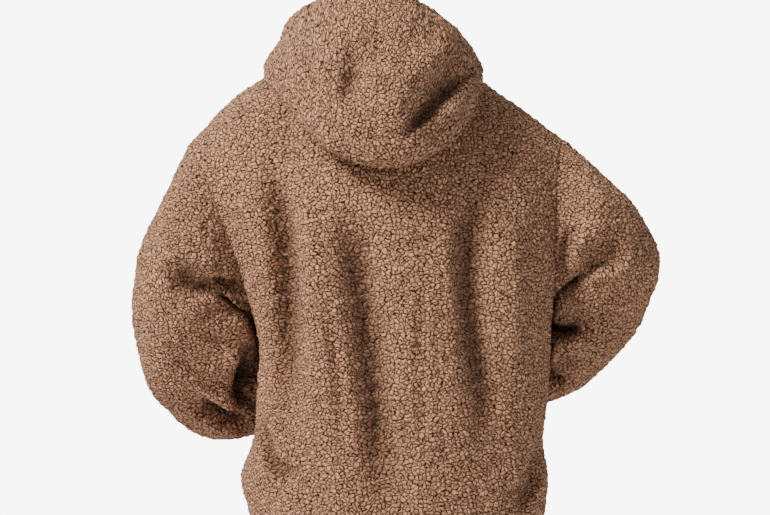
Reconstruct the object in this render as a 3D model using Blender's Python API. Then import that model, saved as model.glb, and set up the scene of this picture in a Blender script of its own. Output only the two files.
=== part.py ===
"""Sherpa hooded jacket, worn with the hood down and the hands on the hips.

The cloth keeps the pose that it has on its wearer, as hollow walls. Metres, +Z up. The front of the
garment faces -Y and the wearer's left is +X. The origin is the middle of the neck opening.
"""

import math

import bmesh
import bpy
import numpy as np

# ------------------------------------------------------------------ driving sizes
CLOTH = 0.008            # knit ground and pile together
SEAM = 0.0003            # clearance between two sewn pieces
PANEL_COLUMNS = 13       # columns of a half panel, from the side seam to the centre
NECK_COLUMN = 9          # column where the shoulder seam ends and the neckline starts
UPPER_ROWS = 14          # rows from the shoulder seam down to the armpit
LOWER_ROWS = 16          # rows from the armpit down to the hem
SLEEVE_ROWS = 28
HOOD_COLUMNS = 16        # columns of one half of the hood
HOOD_ROWS = 22

HOOD_HELD = 2            # rows of the hood that stay on the neckline
HOOD_INSIDE = 0.48       # share of the rows that lie against the body, free of folds
HOOD_TURN = 0.14         # share of the rows over which the folds set in
HOOD_SOFTEN = 2
NECK_SOFTEN = 2
HOOD_EASE = 0.0005       # clearance between the hood and the neckline
SLEEVE_HELD = 5          # rows of a sleeve that stay at the armhole
HOOD_REST = 0.010        # clearance between the hood and the body it rests on
SLEEVE_REST = 0.005      # clearance between a sleeve and the body beside it
SEAM_EASE = 6            # rows over which the shoulder seam's shift fades
REST_STEPS = 4
REST_NEIGHBOURS = 6
REST_BLUR = 0.004

ZIP_GAP = 0.0055         # half of the gap between the fronts
TAPE_WIDTH = 0.015       # from the middle of the zip to a tape's outer edge
TAPE_PART = 0.0003       # from the middle to a closed tape's inner edge
TAPE_SPLIT = 0.0024      # from the middle to the inner edge above the slider
TAPE_THICK = 0.0012
TAPE_SINK = CLOTH + 0.0004   # from the pile's tips down to the tape's face
TAPE_ROWS_OPEN = 2       # rows of the tapes that stand apart above the slider

SLIDER_ROW = 0.55        # place of the slider's middle, in rows below the neckline
SLIDER_LENGTH = 0.0110
SLIDER_WIDTH = 0.0074
SLIDER_TAPER = 0.82      # its width at the lower end, as a share of the upper one
SLIDER_PLATE = 0.0012
SLIDER_RISE = 0.0030     # from the tape's face up to the upper plate
SLIDER_SINK = 0.0008     # from the tape's back down to the lower plate
POST_WIDTH = 0.0028      # width of the post between the plates, and of the arch
POST_LENGTH = 0.0030
BAIL_SPAN = 0.0088       # outer length of the arch that holds the pull tab
BAIL_BAR = 0.0014
BAIL_RISE = 0.0042       # height of the arch over the upper plate
PULL_AXIS = (0.0016, 0.0014)  # the tab's axis: below the slider's middle, above its upper plate
PULL_BAR = 0.0014        # the tab's bar under the arch, square
PULL_EYE = 0.0034        # width of the hole in the tab
METAL_BEVEL = 0.0002

# Outline of the pull tab: distance below its axis and half of its width. The hole ends at the third row.
PULL_COLUMNS = ("below", "half")
PULL_OUTLINE = (
    (-PULL_BAR / 2, 0.0031),
    (PULL_BAR / 2, 0.0031),
    (0.0069, 0.0031),
    (0.0100, 0.0029),
    (0.0200, 0.0033),
    (0.0236, 0.0031),
    (0.0250, 0.0020),
)

RIM_ORDER = (1.0, 0.37, 0.61)  # direction by which neighbours split their facing rims alike

# Looks: colour, roughness, metallic.
SHERPA = ((0.245, 0.125, 0.080, 1.0), 0.95, 0.0)
TAPE = ((0.130, 0.065, 0.042, 1.0), 0.85, 0.0)
METAL = ((0.420, 0.330, 0.240, 1.0), 0.35, 1.0)

# ------------------------------------------------------------------ body
# Level sections of the body. side_y is the depth of the widest point.
SECTION_COLUMNS = ("z", "left", "right", "back", "front", "side_y", "square")
SECTIONS = (
    (-0.150, 0.262, -0.272, 0.118, -0.118, 0.005, 2.2),
    (-0.250, 0.246, -0.270, 0.140, -0.135, 0.010, 2.3),
    (-0.335, 0.213, -0.259, 0.148, -0.145, 0.015, 2.4),
    (-0.417, 0.191, -0.254, 0.150, -0.148, 0.015, 2.4),
    (-0.505, 0.198, -0.250, 0.150, -0.148, 0.015, 2.4),
    (-0.560, 0.200, -0.243, 0.152, -0.146, 0.010, 2.4),
    (-0.640, 0.206, -0.243, 0.155, -0.146, 0.005, 2.3),
    (-0.715, 0.204, -0.243, 0.158, -0.148, 0.000, 2.3),
)
HEM_LEFT, HEM_RIGHT = -0.712, -0.705

# The top edge of a whole panel, from the left side seam (0) to the right one (1), the way the cloth
# leaves it, and the way it rises from the yoke, where the panel joins the level sections.
TOP_COLUMNS = ("at", "x", "y", "z", "leave_x", "leave_y", "leave_z", "yoke", "rise_x", "rise_y", "rise_z")
BACK_TOP = (
    (0.000, 0.302, 0.004, -0.102, -0.020, 0.085, -0.030, -0.372, 0.006, 0.080, 0.050),
    (0.175, 0.214, 0.000, -0.018, -0.010, 0.085, -0.010, -0.330, 0.004, 0.030, 0.090),
    (0.345, 0.096, 0.000, 0.034, -0.004, 0.060, -0.002, -0.290, 0.000, 0.010, 0.110),
    (0.420, 0.066, 0.042, 0.024, -0.002, 0.055, -0.012, -0.270, 0.000, 0.010, 0.105),
    (0.500, 0.010, 0.062, 0.016, 0.000, 0.050, -0.020, -0.260, 0.000, 0.010, 0.100),
    (0.580, -0.048, 0.042, 0.020, 0.002, 0.055, -0.012, -0.270, 0.000, 0.010, 0.105),
    (0.655, -0.078, 0.000, 0.028, 0.004, 0.060, -0.002, -0.290, 0.000, 0.010, 0.110),
    (0.825, -0.186, 0.000, -0.032, 0.010, 0.080, -0.014, -0.320, 0.000, 0.030, 0.090),
    (1.000, -0.276, 0.004, -0.098, 0.020, 0.080, -0.040, -0.345, 0.000, 0.080, 0.050),
)
FRONT_TOP = (
    (0.000, 0.302, 0.004, -0.102, -0.020, -0.085, -0.030, -0.372, 0.004, -0.080, 0.050),
    (0.175, 0.214, 0.000, -0.018, -0.010, -0.080, -0.015, -0.330, 0.004, -0.030, 0.090),
    (0.345, 0.096, 0.000, 0.034, -0.002, -0.055, -0.012, -0.310, 0.000, -0.005, 0.120),
    (0.420, 0.076, -0.062, -0.014, 0.000, -0.030, -0.040, -0.300, 0.000, 0.004, 0.100),
    (0.500, 0.008, -0.104, -0.058, 0.000, -0.006, -0.070, -0.290, 0.000, 0.012, 0.090),
    (0.580, -0.060, -0.062, -0.018, 0.000, -0.030, -0.040, -0.300, 0.000, 0.004, 0.100),
    (0.655, -0.078, 0.000, 0.028, 0.002, -0.055, -0.012, -0.310, 0.000, -0.005, 0.120),
    (0.825, -0.186, 0.000, -0.032, 0.010, -0.078, -0.018, -0.320, 0.000, -0.030, 0.090),
    (1.000, -0.276, 0.004, -0.098, 0.020, -0.080, -0.040, -0.345, 0.000, -0.080, 0.050),
)

# ------------------------------------------------------------------ sleeves
# Rings of a sleeve: its outer and inner point and half of its thickness across them.
RING_COLUMNS = ("outer_x", "outer_y", "outer_z", "inner_x", "inner_y", "inner_z", "half")
SLEEVE_LEFT = (
    (0.334, 0.020, -0.175, 0.234, 0.004, -0.352, 0.090),    # below the shoulder point
    (0.369, 0.035, -0.255, 0.254, -0.012, -0.336, 0.090),   # above the elbow
    (0.381, 0.040, -0.345, 0.250, -0.036, -0.343, 0.086),   # elbow
    (0.374, 0.010, -0.440, 0.224, -0.064, -0.354, 0.080),   # below the elbow
    (0.345, -0.045, -0.520, 0.190, -0.094, -0.415, 0.074),  # forearm
    (0.292, -0.105, -0.566, 0.168, -0.130, -0.448, 0.064),  # above the wrist
    (0.236, -0.160, -0.562, 0.156, -0.168, -0.470, 0.050),  # cuff
)
SLEEVE_RIGHT = (
    (-0.328, 0.020, -0.148, -0.286, 0.004, -0.320, 0.088),
    (-0.384, 0.032, -0.208, -0.299, -0.012, -0.308, 0.086),
    (-0.417, 0.036, -0.288, -0.292, -0.036, -0.316, 0.080),
    (-0.401, 0.012, -0.362, -0.272, -0.064, -0.328, 0.074),
    (-0.366, -0.035, -0.432, -0.246, -0.096, -0.376, 0.068),
    (-0.310, -0.092, -0.490, -0.216, -0.132, -0.410, 0.060),
    (-0.250, -0.150, -0.524, -0.194, -0.170, -0.440, 0.048),
)

# ------------------------------------------------------------------ hood
# Sections of the hood around the neckline, from the left throat (0) by the nape (0.5) to the right one.
# pouch: 0 where the hood stands like a collar, 1 where it hangs as a bag.
HOOD_COLUMNS_NAMED = ("at", "pouch", "reach", "drop", "rim_out", "rim_up", "roll")
HOOD_SECTIONS = (
    (0.00, 0.00, 0.030, 0.010, 0.020, 0.085, 0.020),
    (0.13, 0.08, 0.062, 0.012, 0.034, 0.080, 0.024),
    (0.26, 0.76, 0.108, 0.028, 0.040, 0.066, 0.024),
    (0.38, 1.00, 0.122, 0.120, 0.052, 0.090, 0.030),
    (0.50, 1.00, 0.145, 0.194, 0.065, 0.112, 0.032),
    (0.62, 1.00, 0.120, 0.140, 0.034, 0.080, 0.030),
    (0.74, 0.76, 0.098, 0.032, 0.022, 0.054, 0.022),
    (0.87, 0.08, 0.060, 0.012, 0.030, 0.074, 0.024),
    (1.00, 0.00, 0.030, 0.010, 0.020, 0.085, 0.020),
)
# The bag's section, from the neckline out, down, round and up to the rim.
BAG_COLUMNS = ("out", "down", "roll", "up", "lean", "stand")
BAG_SECTION = (
    (0.00, 0.00, 0.00, 0.00, 0.00, 0.00),
    (0.02, 0.00, 0.70, 0.00, 0.08, 0.14),
    (0.14, 0.00, 1.00, 0.00, 0.16, 0.26),
    (0.30, 0.06, 0.60, 0.00, 0.26, 0.38),
    (0.50, 0.45, 0.00, 0.00, 0.40, 0.50),
    (0.66, 0.84, 0.00, 0.00, 0.52, 0.60),
    (0.84, 1.00, 0.00, 0.00, 0.64, 0.69),
    (1.01, 0.95, 0.00, 0.03, 0.76, 0.76),
    (1.05, 0.66, 0.00, 0.14, 0.86, 0.82),
    (0.90, 0.25, 0.00, 0.42, 0.93, 0.88),
    (0.74, 0.06, 0.00, 0.72, 0.97, 0.94),
)

# ------------------------------------------------------------------ folds
# A fold follows three points, given by x and z. side: 1 on the back, -1 on the front.
# depth is negative for a trough; the cloth on both sides of a trough rises a little.
FOLD_COLUMNS = ("piece", "side", "depth", "width", "x1", "z1", "x2", "z2", "x3", "z3")
FOLDS = (
    ("body", 1, -0.018, 0.026, 0.172, -0.120, 0.142, -0.330, 0.152, -0.560),
    ("body", 1, 0.008, 0.026, 0.120, -0.150, 0.098, -0.420, 0.094, -0.720),
    ("body", 1, -0.017, 0.028, 0.054, -0.200, 0.022, -0.400, -0.010, -0.740),
    ("body", 1, -0.016, 0.028, -0.128, -0.150, -0.130, -0.360, -0.170, -0.600),
    ("body", 1, 0.006, 0.018, -0.190, -0.200, -0.192, -0.350, -0.200, -0.480),
    ("body", 1, -0.016, 0.014, 0.200, -0.520, 0.172, -0.590, 0.134, -0.622),
    ("body", 1, -0.014, 0.013, -0.244, -0.560, -0.222, -0.612, -0.186, -0.655),
    ("body", -1, -0.013, 0.022, 0.150, -0.150, 0.120, -0.340, 0.130, -0.560),
    ("body", -1, -0.012, 0.022, 0.092, -0.240, 0.096, -0.450, 0.080, -0.740),
    ("body", -1, -0.012, 0.024, -0.150, -0.170, -0.150, -0.380, -0.170, -0.600),
    ("body", -1, -0.011, 0.022, -0.085, -0.260, -0.098, -0.460, -0.088, -0.740),
    ("left", 1, -0.016, 0.018, 0.256, -0.330, 0.284, -0.322, 0.330, -0.312),
    ("left", 1, -0.012, 0.018, 0.180, -0.445, 0.232, -0.470, 0.262, -0.500),
    ("left", 1, -0.010, 0.018, 0.215, -0.530, 0.262, -0.522, 0.318, -0.500),
    ("left", 1, -0.007, 0.022, 0.330, -0.200, 0.300, -0.290, 0.330, -0.400),
    ("left", -1, -0.012, 0.018, 0.272, -0.343, 0.305, -0.340, 0.355, -0.330),
    ("left", -1, -0.010, 0.018, 0.255, -0.380, 0.295, -0.402, 0.350, -0.420),
    ("right", 1, -0.015, 0.018, -0.300, -0.296, -0.325, -0.280, -0.365, -0.266),
    ("right", 1, 0.006, 0.018, -0.300, -0.300, -0.350, -0.296, -0.405, -0.292),
    ("right", 1, -0.010, 0.017, -0.245, -0.396, -0.278, -0.392, -0.318, -0.372),
    ("right", 1, -0.009, 0.017, -0.240, -0.468, -0.268, -0.455, -0.300, -0.430),
    ("right", -1, -0.012, 0.018, -0.312, -0.316, -0.340, -0.312, -0.390, -0.296),
    ("right", -1, -0.010, 0.018, -0.292, -0.352, -0.330, -0.364, -0.375, -0.370),
    ("hood", 1, -0.024, 0.017, -0.118, 0.012, -0.068, -0.055, -0.030, -0.118),
    ("hood", 1, -0.012, 0.018, 0.006, 0.080, 0.050, -0.018, 0.062, -0.062),
    ("hood", 1, 0.010, 0.016, -0.110, 0.040, -0.030, -0.010, 0.034, -0.036),
)
FOLD_FADE = 0.30         # share of a fold's length over which each end fades
FLANK = 0.35             # rise beside a trough, as a share of its depth

# Soft bulges: centre, radii and push, all along x, y and z.
BULGE_COLUMNS = ("piece", "x", "y", "z", "rx", "ry", "rz", "dx", "dy", "dz")
BULGES = (
    ("body", 0.205, -0.050, -0.622, 0.060, 0.080, 0.052, 0.024, -0.008, 0.0),
    ("body", -0.240, -0.050, -0.626, 0.060, 0.080, 0.050, -0.014, -0.008, 0.0),
    ("left", 0.225, -0.020, -0.392, 0.042, 0.070, 0.048, -0.010, 0.040, 0.0),
    ("left", 0.250, 0.030, -0.400, 0.050, 0.060, 0.046, 0.0, 0.012, 0.0),
    ("right", -0.285, -0.010, -0.333, 0.040, 0.060, 0.034, 0.006, 0.026, 0.0),
    ("right", -0.275, -0.030, -0.424, 0.036, 0.060, 0.028, 0.008, 0.028, 0.0),
    ("hood", 0.175, 0.060, -0.012, 0.042, 0.080, 0.030, 0.014, 0.0, -0.004),
    ("hood", 0.160, 0.060, 0.052, 0.042, 0.080, 0.022, -0.009, 0.0, 0.0),
    ("hood", -0.140, 0.060, 0.070, 0.050, 0.080, 0.042, 0.014, 0.0, 0.0),
)


# ------------------------------------------------------------------ curves
def table(names, rows):
    """A table's columns by name."""
    return {name: np.array([row[k] for row in rows], float) for k, name in enumerate(names)}


def curve(x, knots, values):
    """Smooth curve through the values at the knots, read at x."""
    knots = np.asarray(knots, float)
    values = np.asarray(values, float)
    order = np.argsort(knots)
    knots, values = knots[order], values[order]
    shape = (-1,) + (1,) * (values.ndim - 1)
    steps = np.diff(knots).reshape(shape)
    slopes = np.diff(values, axis=0) / steps
    tangents = np.empty_like(values)
    tangents[0], tangents[-1] = slopes[0], slopes[-1]
    weight = steps[1:] / (steps[1:] + steps[:-1])
    tangents[1:-1] = weight * slopes[:-1] + (1 - weight) * slopes[1:]
    x = np.clip(np.asarray(x, float), knots[0], knots[-1])
    k = np.clip(np.searchsorted(knots, x, side="right") - 1, 0, len(knots) - 2)
    span = knots[k + 1] - knots[k]
    s = (x - knots[k]) / span
    lift = (Ellipsis,) + (None,) * (values.ndim - 1)
    s, span = s[lift], span[lift]
    return ((1 + 2 * s) * (1 - s) ** 2 * values[k] + s * (1 - s) ** 2 * span * tangents[k]
            + s * s * (3 - 2 * s) * values[k + 1] + s * s * (s - 1) * span * tangents[k + 1])


def unit(v):
    return v / np.maximum(np.linalg.norm(v, axis=-1, keepdims=True), 1e-12)


def normals(grid):
    """Normals of a grid of points, by the cross product of its two directions."""
    down = np.gradient(grid, axis=0)
    along = np.gradient(grid, axis=1)
    return unit(np.cross(down, along))


# ------------------------------------------------------------------ body surface
def section_point(angle, z):
    """Point of the body at a level. The angle is 0 at the left side and 90 degrees at the back."""
    t = table(SECTION_COLUMNS, SECTIONS)
    read = {name: curve(z, t["z"], t[name]) for name in SECTION_COLUMNS[1:]}
    c, s = np.cos(angle), np.sin(angle)
    power = 2.0 / read["square"]
    x = (read["left"] + read["right"]) / 2 + (read["left"] - read["right"]) / 2 * np.sign(c) * np.abs(c) ** power
    reach = np.where(s >= 0, read["back"] - read["side_y"], read["side_y"] - read["front"])
    y = read["side_y"] + reach * np.sign(s) * np.abs(s) ** power
    return np.stack([x, y, z + 0 * x], axis=-1)


def panel(rows, face):
    """Grid of a panel, from the left side seam to the right one, shoulder row first."""
    at = np.linspace(0.0, 1.0, 2 * PANEL_COLUMNS + 1)
    t = table(TOP_COLUMNS, rows)
    read = {name: curve(at, t["at"], t[name]) for name in TOP_COLUMNS[1:]}
    top, leave, rise = (np.stack([read[stem + axis] for axis in "xyz"], axis=-1) for stem in ("", "leave_", "rise_"))
    yoke = section_point(face * at * math.pi, read["yoke"])
    hem = HEM_LEFT + (HEM_RIGHT - HEM_LEFT) * at
    grid = np.empty((UPPER_ROWS + LOWER_ROWS + 1, len(at), 3))
    for row in range(UPPER_ROWS + 1):
        s = row / UPPER_ROWS
        grid[row] = ((1 - s) ** 3 * top + 3 * s * (1 - s) ** 2 * (top + leave)
                     + 3 * s * s * (1 - s) * (yoke + rise) + s ** 3 * yoke)
    for row in range(1, LOWER_ROWS + 1):
        level = read["yoke"] + (hem - read["yoke"]) * row / LOWER_ROWS
        grid[UPPER_ROWS + row] = section_point(face * at * math.pi, level)
    return grid


def sleeve_tube(hole, rows, count):
    """Grid of a sleeve. hole is its first ring, from the shoulder point by the back to the armpit."""
    around = len(hole) - 1
    t = table(RING_COLUMNS, rows)
    outer = np.stack([t["outer_x"], t["outer_y"], t["outer_z"]], axis=-1)
    inner = np.stack([t["inner_x"], t["inner_y"], t["inner_z"]], axis=-1)
    middle = (outer + inner) / 2
    first = (hole[0] + hole[around // 2]) / 2
    path = np.vstack([first, middle])
    tangent = unit(np.gradient(path, axis=0))[1:]
    long_axis = (outer - inner) / 2
    back = unit(np.cross(long_axis, tangent))
    back = np.where(back[:1, 1:2] < 0, -back, back)
    turn = np.linspace(0, 2 * math.pi, around + 1)[None, :, None]
    rings = middle[:, None] + long_axis[:, None] * np.cos(turn) + (back * t["half"][:, None])[:, None] * np.sin(turn)
    rings = np.concatenate([hole[None], rings])
    knots = np.concatenate([[0], np.cumsum(np.linalg.norm(np.diff(path, axis=0), axis=1))])
    return curve(np.linspace(0, knots[-1], count + 1), knots, rings)


def hood_bag(neckline, centre, columns, rows):
    """Grid of the whole hood, and how much of a bag each column is.

    The first row is the neckline, the last one the rim of the face opening.
    """
    at = np.linspace(0, 1, columns + 1)
    base = np.stack([np.interp(at, np.linspace(0, 1, len(neckline)), neckline[:, k]) for k in range(3)], axis=-1)
    t = table(HOOD_COLUMNS_NAMED, HOOD_SECTIONS)
    read = {name: curve(at, t["at"], t[name]) for name in HOOD_COLUMNS_NAMED[1:]}
    out = base - centre
    out[:, 2] = 0
    out = unit(out)
    bag = table(BAG_COLUMNS, BAG_SECTION)
    pouch = read["pouch"][None]
    away = (pouch * (bag["out"][:, None] * read["reach"]) + (1 - pouch) * bag["lean"][:, None] * read["rim_out"])
    height = (pouch * (-bag["down"][:, None] * read["drop"] + bag["roll"][:, None] * read["roll"]
                       + bag["up"][:, None] * read["rim_up"])
              + (1 - pouch) * bag["stand"][:, None] * read["rim_up"])
    keys = base[None] + away[..., None] * out[None]
    keys[..., 2] += height
    rim = base + read["rim_out"][:, None] * out
    rim[:, 2] += read["rim_up"]
    keys = np.concatenate([keys, rim[None]])
    middle = keys[:, columns // 2]
    knots = np.concatenate([[0], np.cumsum(np.linalg.norm(np.diff(middle, axis=0), axis=1))])
    return curve(np.linspace(0, knots[-1], rows + 1), knots, keys), read["pouch"]


def rest_on(grid, bodies, gap, held, tube=False, share=1.0):
    """Pushes a grid's points out of the bodies' surfaces, to a gap from them. The first rows are held."""
    points = np.concatenate([body.reshape(-1, 3) for body, _ in bodies])
    facing = np.concatenate([out.reshape(-1, 3) for _, out in bodies])
    hold = np.clip((np.arange(len(grid)) - held + 1) / held, 0, 1)[:, None]
    for _ in range(REST_STEPS):
        distance = np.linalg.norm(grid[..., None, :] - points, axis=-1)
        near = distance.argsort(axis=-1)[..., :REST_NEIGHBOURS]
        weight = 1.0 / (np.take_along_axis(distance, near, axis=-1) ** 2 + REST_BLUR ** 2)
        weight /= weight.sum(axis=-1, keepdims=True)
        out = unit((facing[near] * weight[..., None]).sum(axis=-2))
        away = ((grid - (points[near] * weight[..., None]).sum(axis=-2)) * out).sum(axis=-1)
        push = out * (np.clip(gap - away, 0, None) * hold)[..., None] * share
        grid = grid + np.maximum(np.abs(push), np.abs(soften(push, tube))) * np.sign(soften(push, tube))
    return grid


def even_rows(grid):
    """A grid with its rows set evenly along each column, and its inner points averaged."""
    steps = np.linalg.norm(np.diff(grid, axis=0), axis=-1)
    length = np.concatenate([np.zeros((1, grid.shape[1])), np.cumsum(steps, axis=0)])
    even = np.empty_like(grid)
    for column in range(grid.shape[1]):
        at = np.linspace(0, length[-1, column], len(grid))
        for axis in range(3):
            even[:, column, axis] = np.interp(at, length[:, column], grid[:, column, axis])
    for _ in range(HOOD_SOFTEN):
        even[1:-1, 1:-1] = soften(even, False)[1:-1, 1:-1]
    return even


def soften(field, tube):
    """A field of vectors, averaged with its neighbours along both directions of its grid."""
    if tube:
        around = np.concatenate([field[:, -2:-1], field, field[:, 1:2]], axis=1)
    else:
        around = np.concatenate([field[:, :1], field, field[:, -1:]], axis=1)
    field = (around[:, :-2] + 2 * around[:, 1:-1] + around[:, 2:]) / 4
    along = np.concatenate([field[:1], field, field[-1:]])
    return (along[:-2] + 2 * along[1:-1] + along[2:]) / 4


# ------------------------------------------------------------------ folds on a surface
def fold_line(fold):
    """Points of a fold's curve in x and z, with their place along it."""
    ends = np.array([(fold["x1"], fold["z1"]), (fold["x2"], fold["z2"]), (fold["x3"], fold["z3"])])
    place = np.linspace(0, 1, 25)
    return curve(place, (0.0, 0.5, 1.0), ends), place


def relief(grid, piece):
    """Moves a grid's points along its normals, into troughs and onto ridges."""
    normal = normals(grid)
    height = np.zeros(grid.shape[:-1])
    for row in FOLDS:
        fold = dict(zip(FOLD_COLUMNS, row))
        if fold["piece"] != piece:
            continue
        line, place = fold_line(fold)
        gap = np.linalg.norm(grid[..., None, ::2] - line, axis=-1)
        near = gap.argmin(axis=-1)
        d = gap.min(axis=-1) / fold["width"]
        fade = np.minimum(place, 1 - place)[near] / FOLD_FADE
        fade = np.clip(fade, 0, 1)
        fade = fade * fade * (3 - 2 * fade)
        shape = np.exp(-d * d)
        if fold["depth"] < 0:
            shape = shape - FLANK * np.exp(-((d - 2.0) / 0.8) ** 2)
        facing = np.clip(normal[..., 1] * fold["side"] * 2.0, 0, 1)
        height += fold["depth"] * shape * fade * facing
    grid = grid + normal * height[..., None]
    for row in BULGES:
        bulge = dict(zip(BULGE_COLUMNS, row))
        if bulge["piece"] != piece:
            continue
        centre = np.array([bulge["x"], bulge["y"], bulge["z"]])
        radii = np.array([bulge["rx"], bulge["ry"], bulge["rz"]])
        push = np.array([bulge["dx"], bulge["dy"], bulge["dz"]])
        weight = np.exp(-(((grid - centre) / radii) ** 2).sum(axis=-1))
        grid = grid + weight[..., None] * push
    return grid


# ------------------------------------------------------------------ the garment's surfaces
def surfaces():
    """Outer surfaces of the body's back and front, the sleeves and the hood, as grids with normals out.

    The back runs from the left side seam to the right one, and the front the other way. A tube's last
    column repeats its first one. Neighbours share the points of their seams.
    """
    back = relief(panel(BACK_TOP, 1), "body")
    front = relief(panel(FRONT_TOP, -1)[:, ::-1], "body")
    join_seams(back, front)
    bodies = ((back, body_normals(back)), (front, body_normals(front)))
    sleeves = {}
    for name, side, rings, way in (("left", 0, SLEEVE_LEFT, 1), ("right", -1, SLEEVE_RIGHT, -1)):
        hole = np.concatenate([back[:UPPER_ROWS + 1, side], front[UPPER_ROWS - 1::-1, -1 - side]])
        tube = relief_sleeve(sleeve_tube(hole, rings, SLEEVE_ROWS)[:, ::way], name)
        sleeves[name] = rest_on(tube, bodies, SLEEVE_REST, SLEEVE_HELD, True)
    first, last = NECK_COLUMN, 2 * PANEL_COLUMNS - NECK_COLUMN
    front_edge = front[0, ::-1]
    neckline = np.concatenate([front_edge[first:PANEL_COLUMNS + 1][::-1][:-1], back[0, first:last + 1],
                               front_edge[PANEL_COLUMNS:last + 1][::-1][1:]])
    hood, pouch = hood_bag(neckline, neckline.mean(axis=0), 2 * HOOD_COLUMNS, HOOD_ROWS)
    hood, pouch = hood[:, ::-1], pouch[::-1]
    hood = even_rows(rest_on(hood, bodies, HOOD_REST, HOOD_HELD))
    hood = rest_on(hood, bodies, HOOD_REST, HOOD_HELD, share=pouch[:, None])
    hood[1:-1, 1:-1] = soften(hood, False)[1:-1, 1:-1]
    outside = np.clip((np.linspace(0, 1, len(hood)) - HOOD_INSIDE) / HOOD_TURN, 0, 1)[:, None, None]
    hood = hood + (relief(hood, "hood") - hood) * outside
    return back, front, sleeves["left"], sleeves["right"], hood


def join_seams(back, front):
    """Gives the back and the front the same points along the side seams and the shoulder seams."""
    mirror = front[:, ::-1]
    last = 2 * PANEL_COLUMNS
    for row in range(UPPER_ROWS, len(back)):
        for column in (0, last):
            back[row, column] = mirror[row, column] = (back[row, column] + mirror[row, column]) / 2
    for column in list(range(NECK_COLUMN + 1)) + list(range(last - NECK_COLUMN, last + 1)):
        middle = (back[0, column] + mirror[0, column]) / 2
        for grid in (back, mirror):
            step = middle - grid[0, column]
            for row in range(SEAM_EASE):
                grid[row, column] += step * (1 - row / SEAM_EASE)


def body_normals(grid):
    """Normals of a body panel, with those of its shoulder edge turned up, midway to the other panel's."""
    out = normals(grid)
    out[0, :, 1] = 0
    out[0] = unit(out[0])
    out[UPPER_ROWS:, (0, -1), 1] = 0
    return unit(out)


def relief_sleeve(grid, piece):
    """Folds on a sleeve, which leave its first rings where the armhole is."""
    hold = np.clip(np.arange(len(grid)) / 3.0, 0, 1)[:, None, None]
    return grid + (relief(grid, piece) - grid) * hold


# ------------------------------------------------------------------ seams
def share_normals(normal_sets, places):
    """Gives the points that meet at a seam one common direction through the cloth."""
    for group in places:
        mean = unit(sum(normal_sets[name][index] for name, index in group))
        for name, index in group:
            normal_sets[name][index] = mean


def draw_in(grid, normal, edge, amount):
    """Moves an edge of a grid in, along the surface and square to the edge."""
    views = {"top": (grid, normal), "left": (grid.swapaxes(0, 1), normal.swapaxes(0, 1)),
             "right": (grid.swapaxes(0, 1)[::-1], normal.swapaxes(0, 1)[::-1])}
    points, facing = views[edge]
    line = unit(np.gradient(points[0], axis=0))
    inward = points[1] - points[0]
    inward -= line * (inward * line).sum(-1, keepdims=True)
    inward -= facing[0] * (inward * facing[0]).sum(-1, keepdims=True)
    points[0] += unit(inward) * amount


def cloth_pieces():
    """Each cloth piece's outer grid, the direction through its wall, and whether it is a tube."""
    back, front, left, right, hood = surfaces()
    half = PANEL_COLUMNS
    grids = {"back": back, "front_right": front[:, :half + 1].copy(), "front_left": front[:, half:].copy(),
             "sleeve_left": left, "sleeve_right": right,
             "hood_right": hood[:, :HOOD_COLUMNS + 1].copy(), "hood_left": hood[:, HOOD_COLUMNS:].copy()}
    facing = {name: normals(grid) for name, grid in grids.items()}
    for name in ("sleeve_left", "sleeve_right"):
        facing[name] = unit(grids[name] - grids[name][:, :-1].mean(axis=1, keepdims=True))
    whole = normals(front)
    facing["front_right"], facing["front_left"] = whole[:, :half + 1].copy(), whole[:, half:].copy()
    whole = normals(hood)
    facing["hood_right"], facing["hood_left"] = whole[:, :HOOD_COLUMNS + 1].copy(), whole[:, HOOD_COLUMNS:].copy()
    rows, last, around = UPPER_ROWS, 2 * half, 2 * UPPER_ROWS
    groups = []
    for row in range(rows, rows + LOWER_ROWS + 1):
        extra_left = [("sleeve_left", (0, rows))] if row == rows else []
        extra_right = [("sleeve_right", (0, rows))] if row == rows else []
        groups.append([("back", (row, 0)), ("front_left", (row, half))] + extra_left)
        groups.append([("back", (row, last)), ("front_right", (row, 0))] + extra_right)
    for row in range(1, rows):
        groups.append([("back", (row, 0)), ("sleeve_left", (0, row))])
        groups.append([("front_left", (row, half)), ("sleeve_left", (0, around - row))])
        groups.append([("back", (row, last)), ("sleeve_right", (0, around - row))])
        groups.append([("front_right", (row, 0)), ("sleeve_right", (0, row))])
    for column in range(1, NECK_COLUMN + 1):
        groups.append([("back", (0, column)), ("front_left", (0, half - column))])
        groups.append([("back", (0, last - column)), ("front_right", (0, column))])
    groups.append([("back", (0, 0)), ("front_left", (0, half)), ("sleeve_left", (0, 0)), ("sleeve_left", (0, around))])
    groups.append([("back", (0, last)), ("front_right", (0, 0)), ("sleeve_right", (0, 0)),
                   ("sleeve_right", (0, around))])
    share_normals(facing, groups)
    share_neckline(facing)
    for name, edges in (("back", ("top", "left", "right")), ("front_left", ("top", "right")),
                        ("front_right", ("top", "left")), ("sleeve_left", ("top",)), ("sleeve_right", ("top",)),
                        ("hood_left", ("left",)), ("hood_right", ("right",))):
        for edge in edges:
            draw_in(grids[name], facing[name], edge, SEAM / 2)
    for name in ("hood_left", "hood_right"):
        draw_in(grids[name], facing[name], "top", HOOD_EASE)
    draw_in(grids["front_left"], facing["front_left"], "left", ZIP_GAP)
    draw_in(grids["front_right"], facing["front_right"], "right", ZIP_GAP)
    draw_in(grids["hood_left"], facing["hood_left"], "right", ZIP_GAP)
    draw_in(grids["hood_right"], facing["hood_right"], "left", ZIP_GAP)
    return grids, facing


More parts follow.
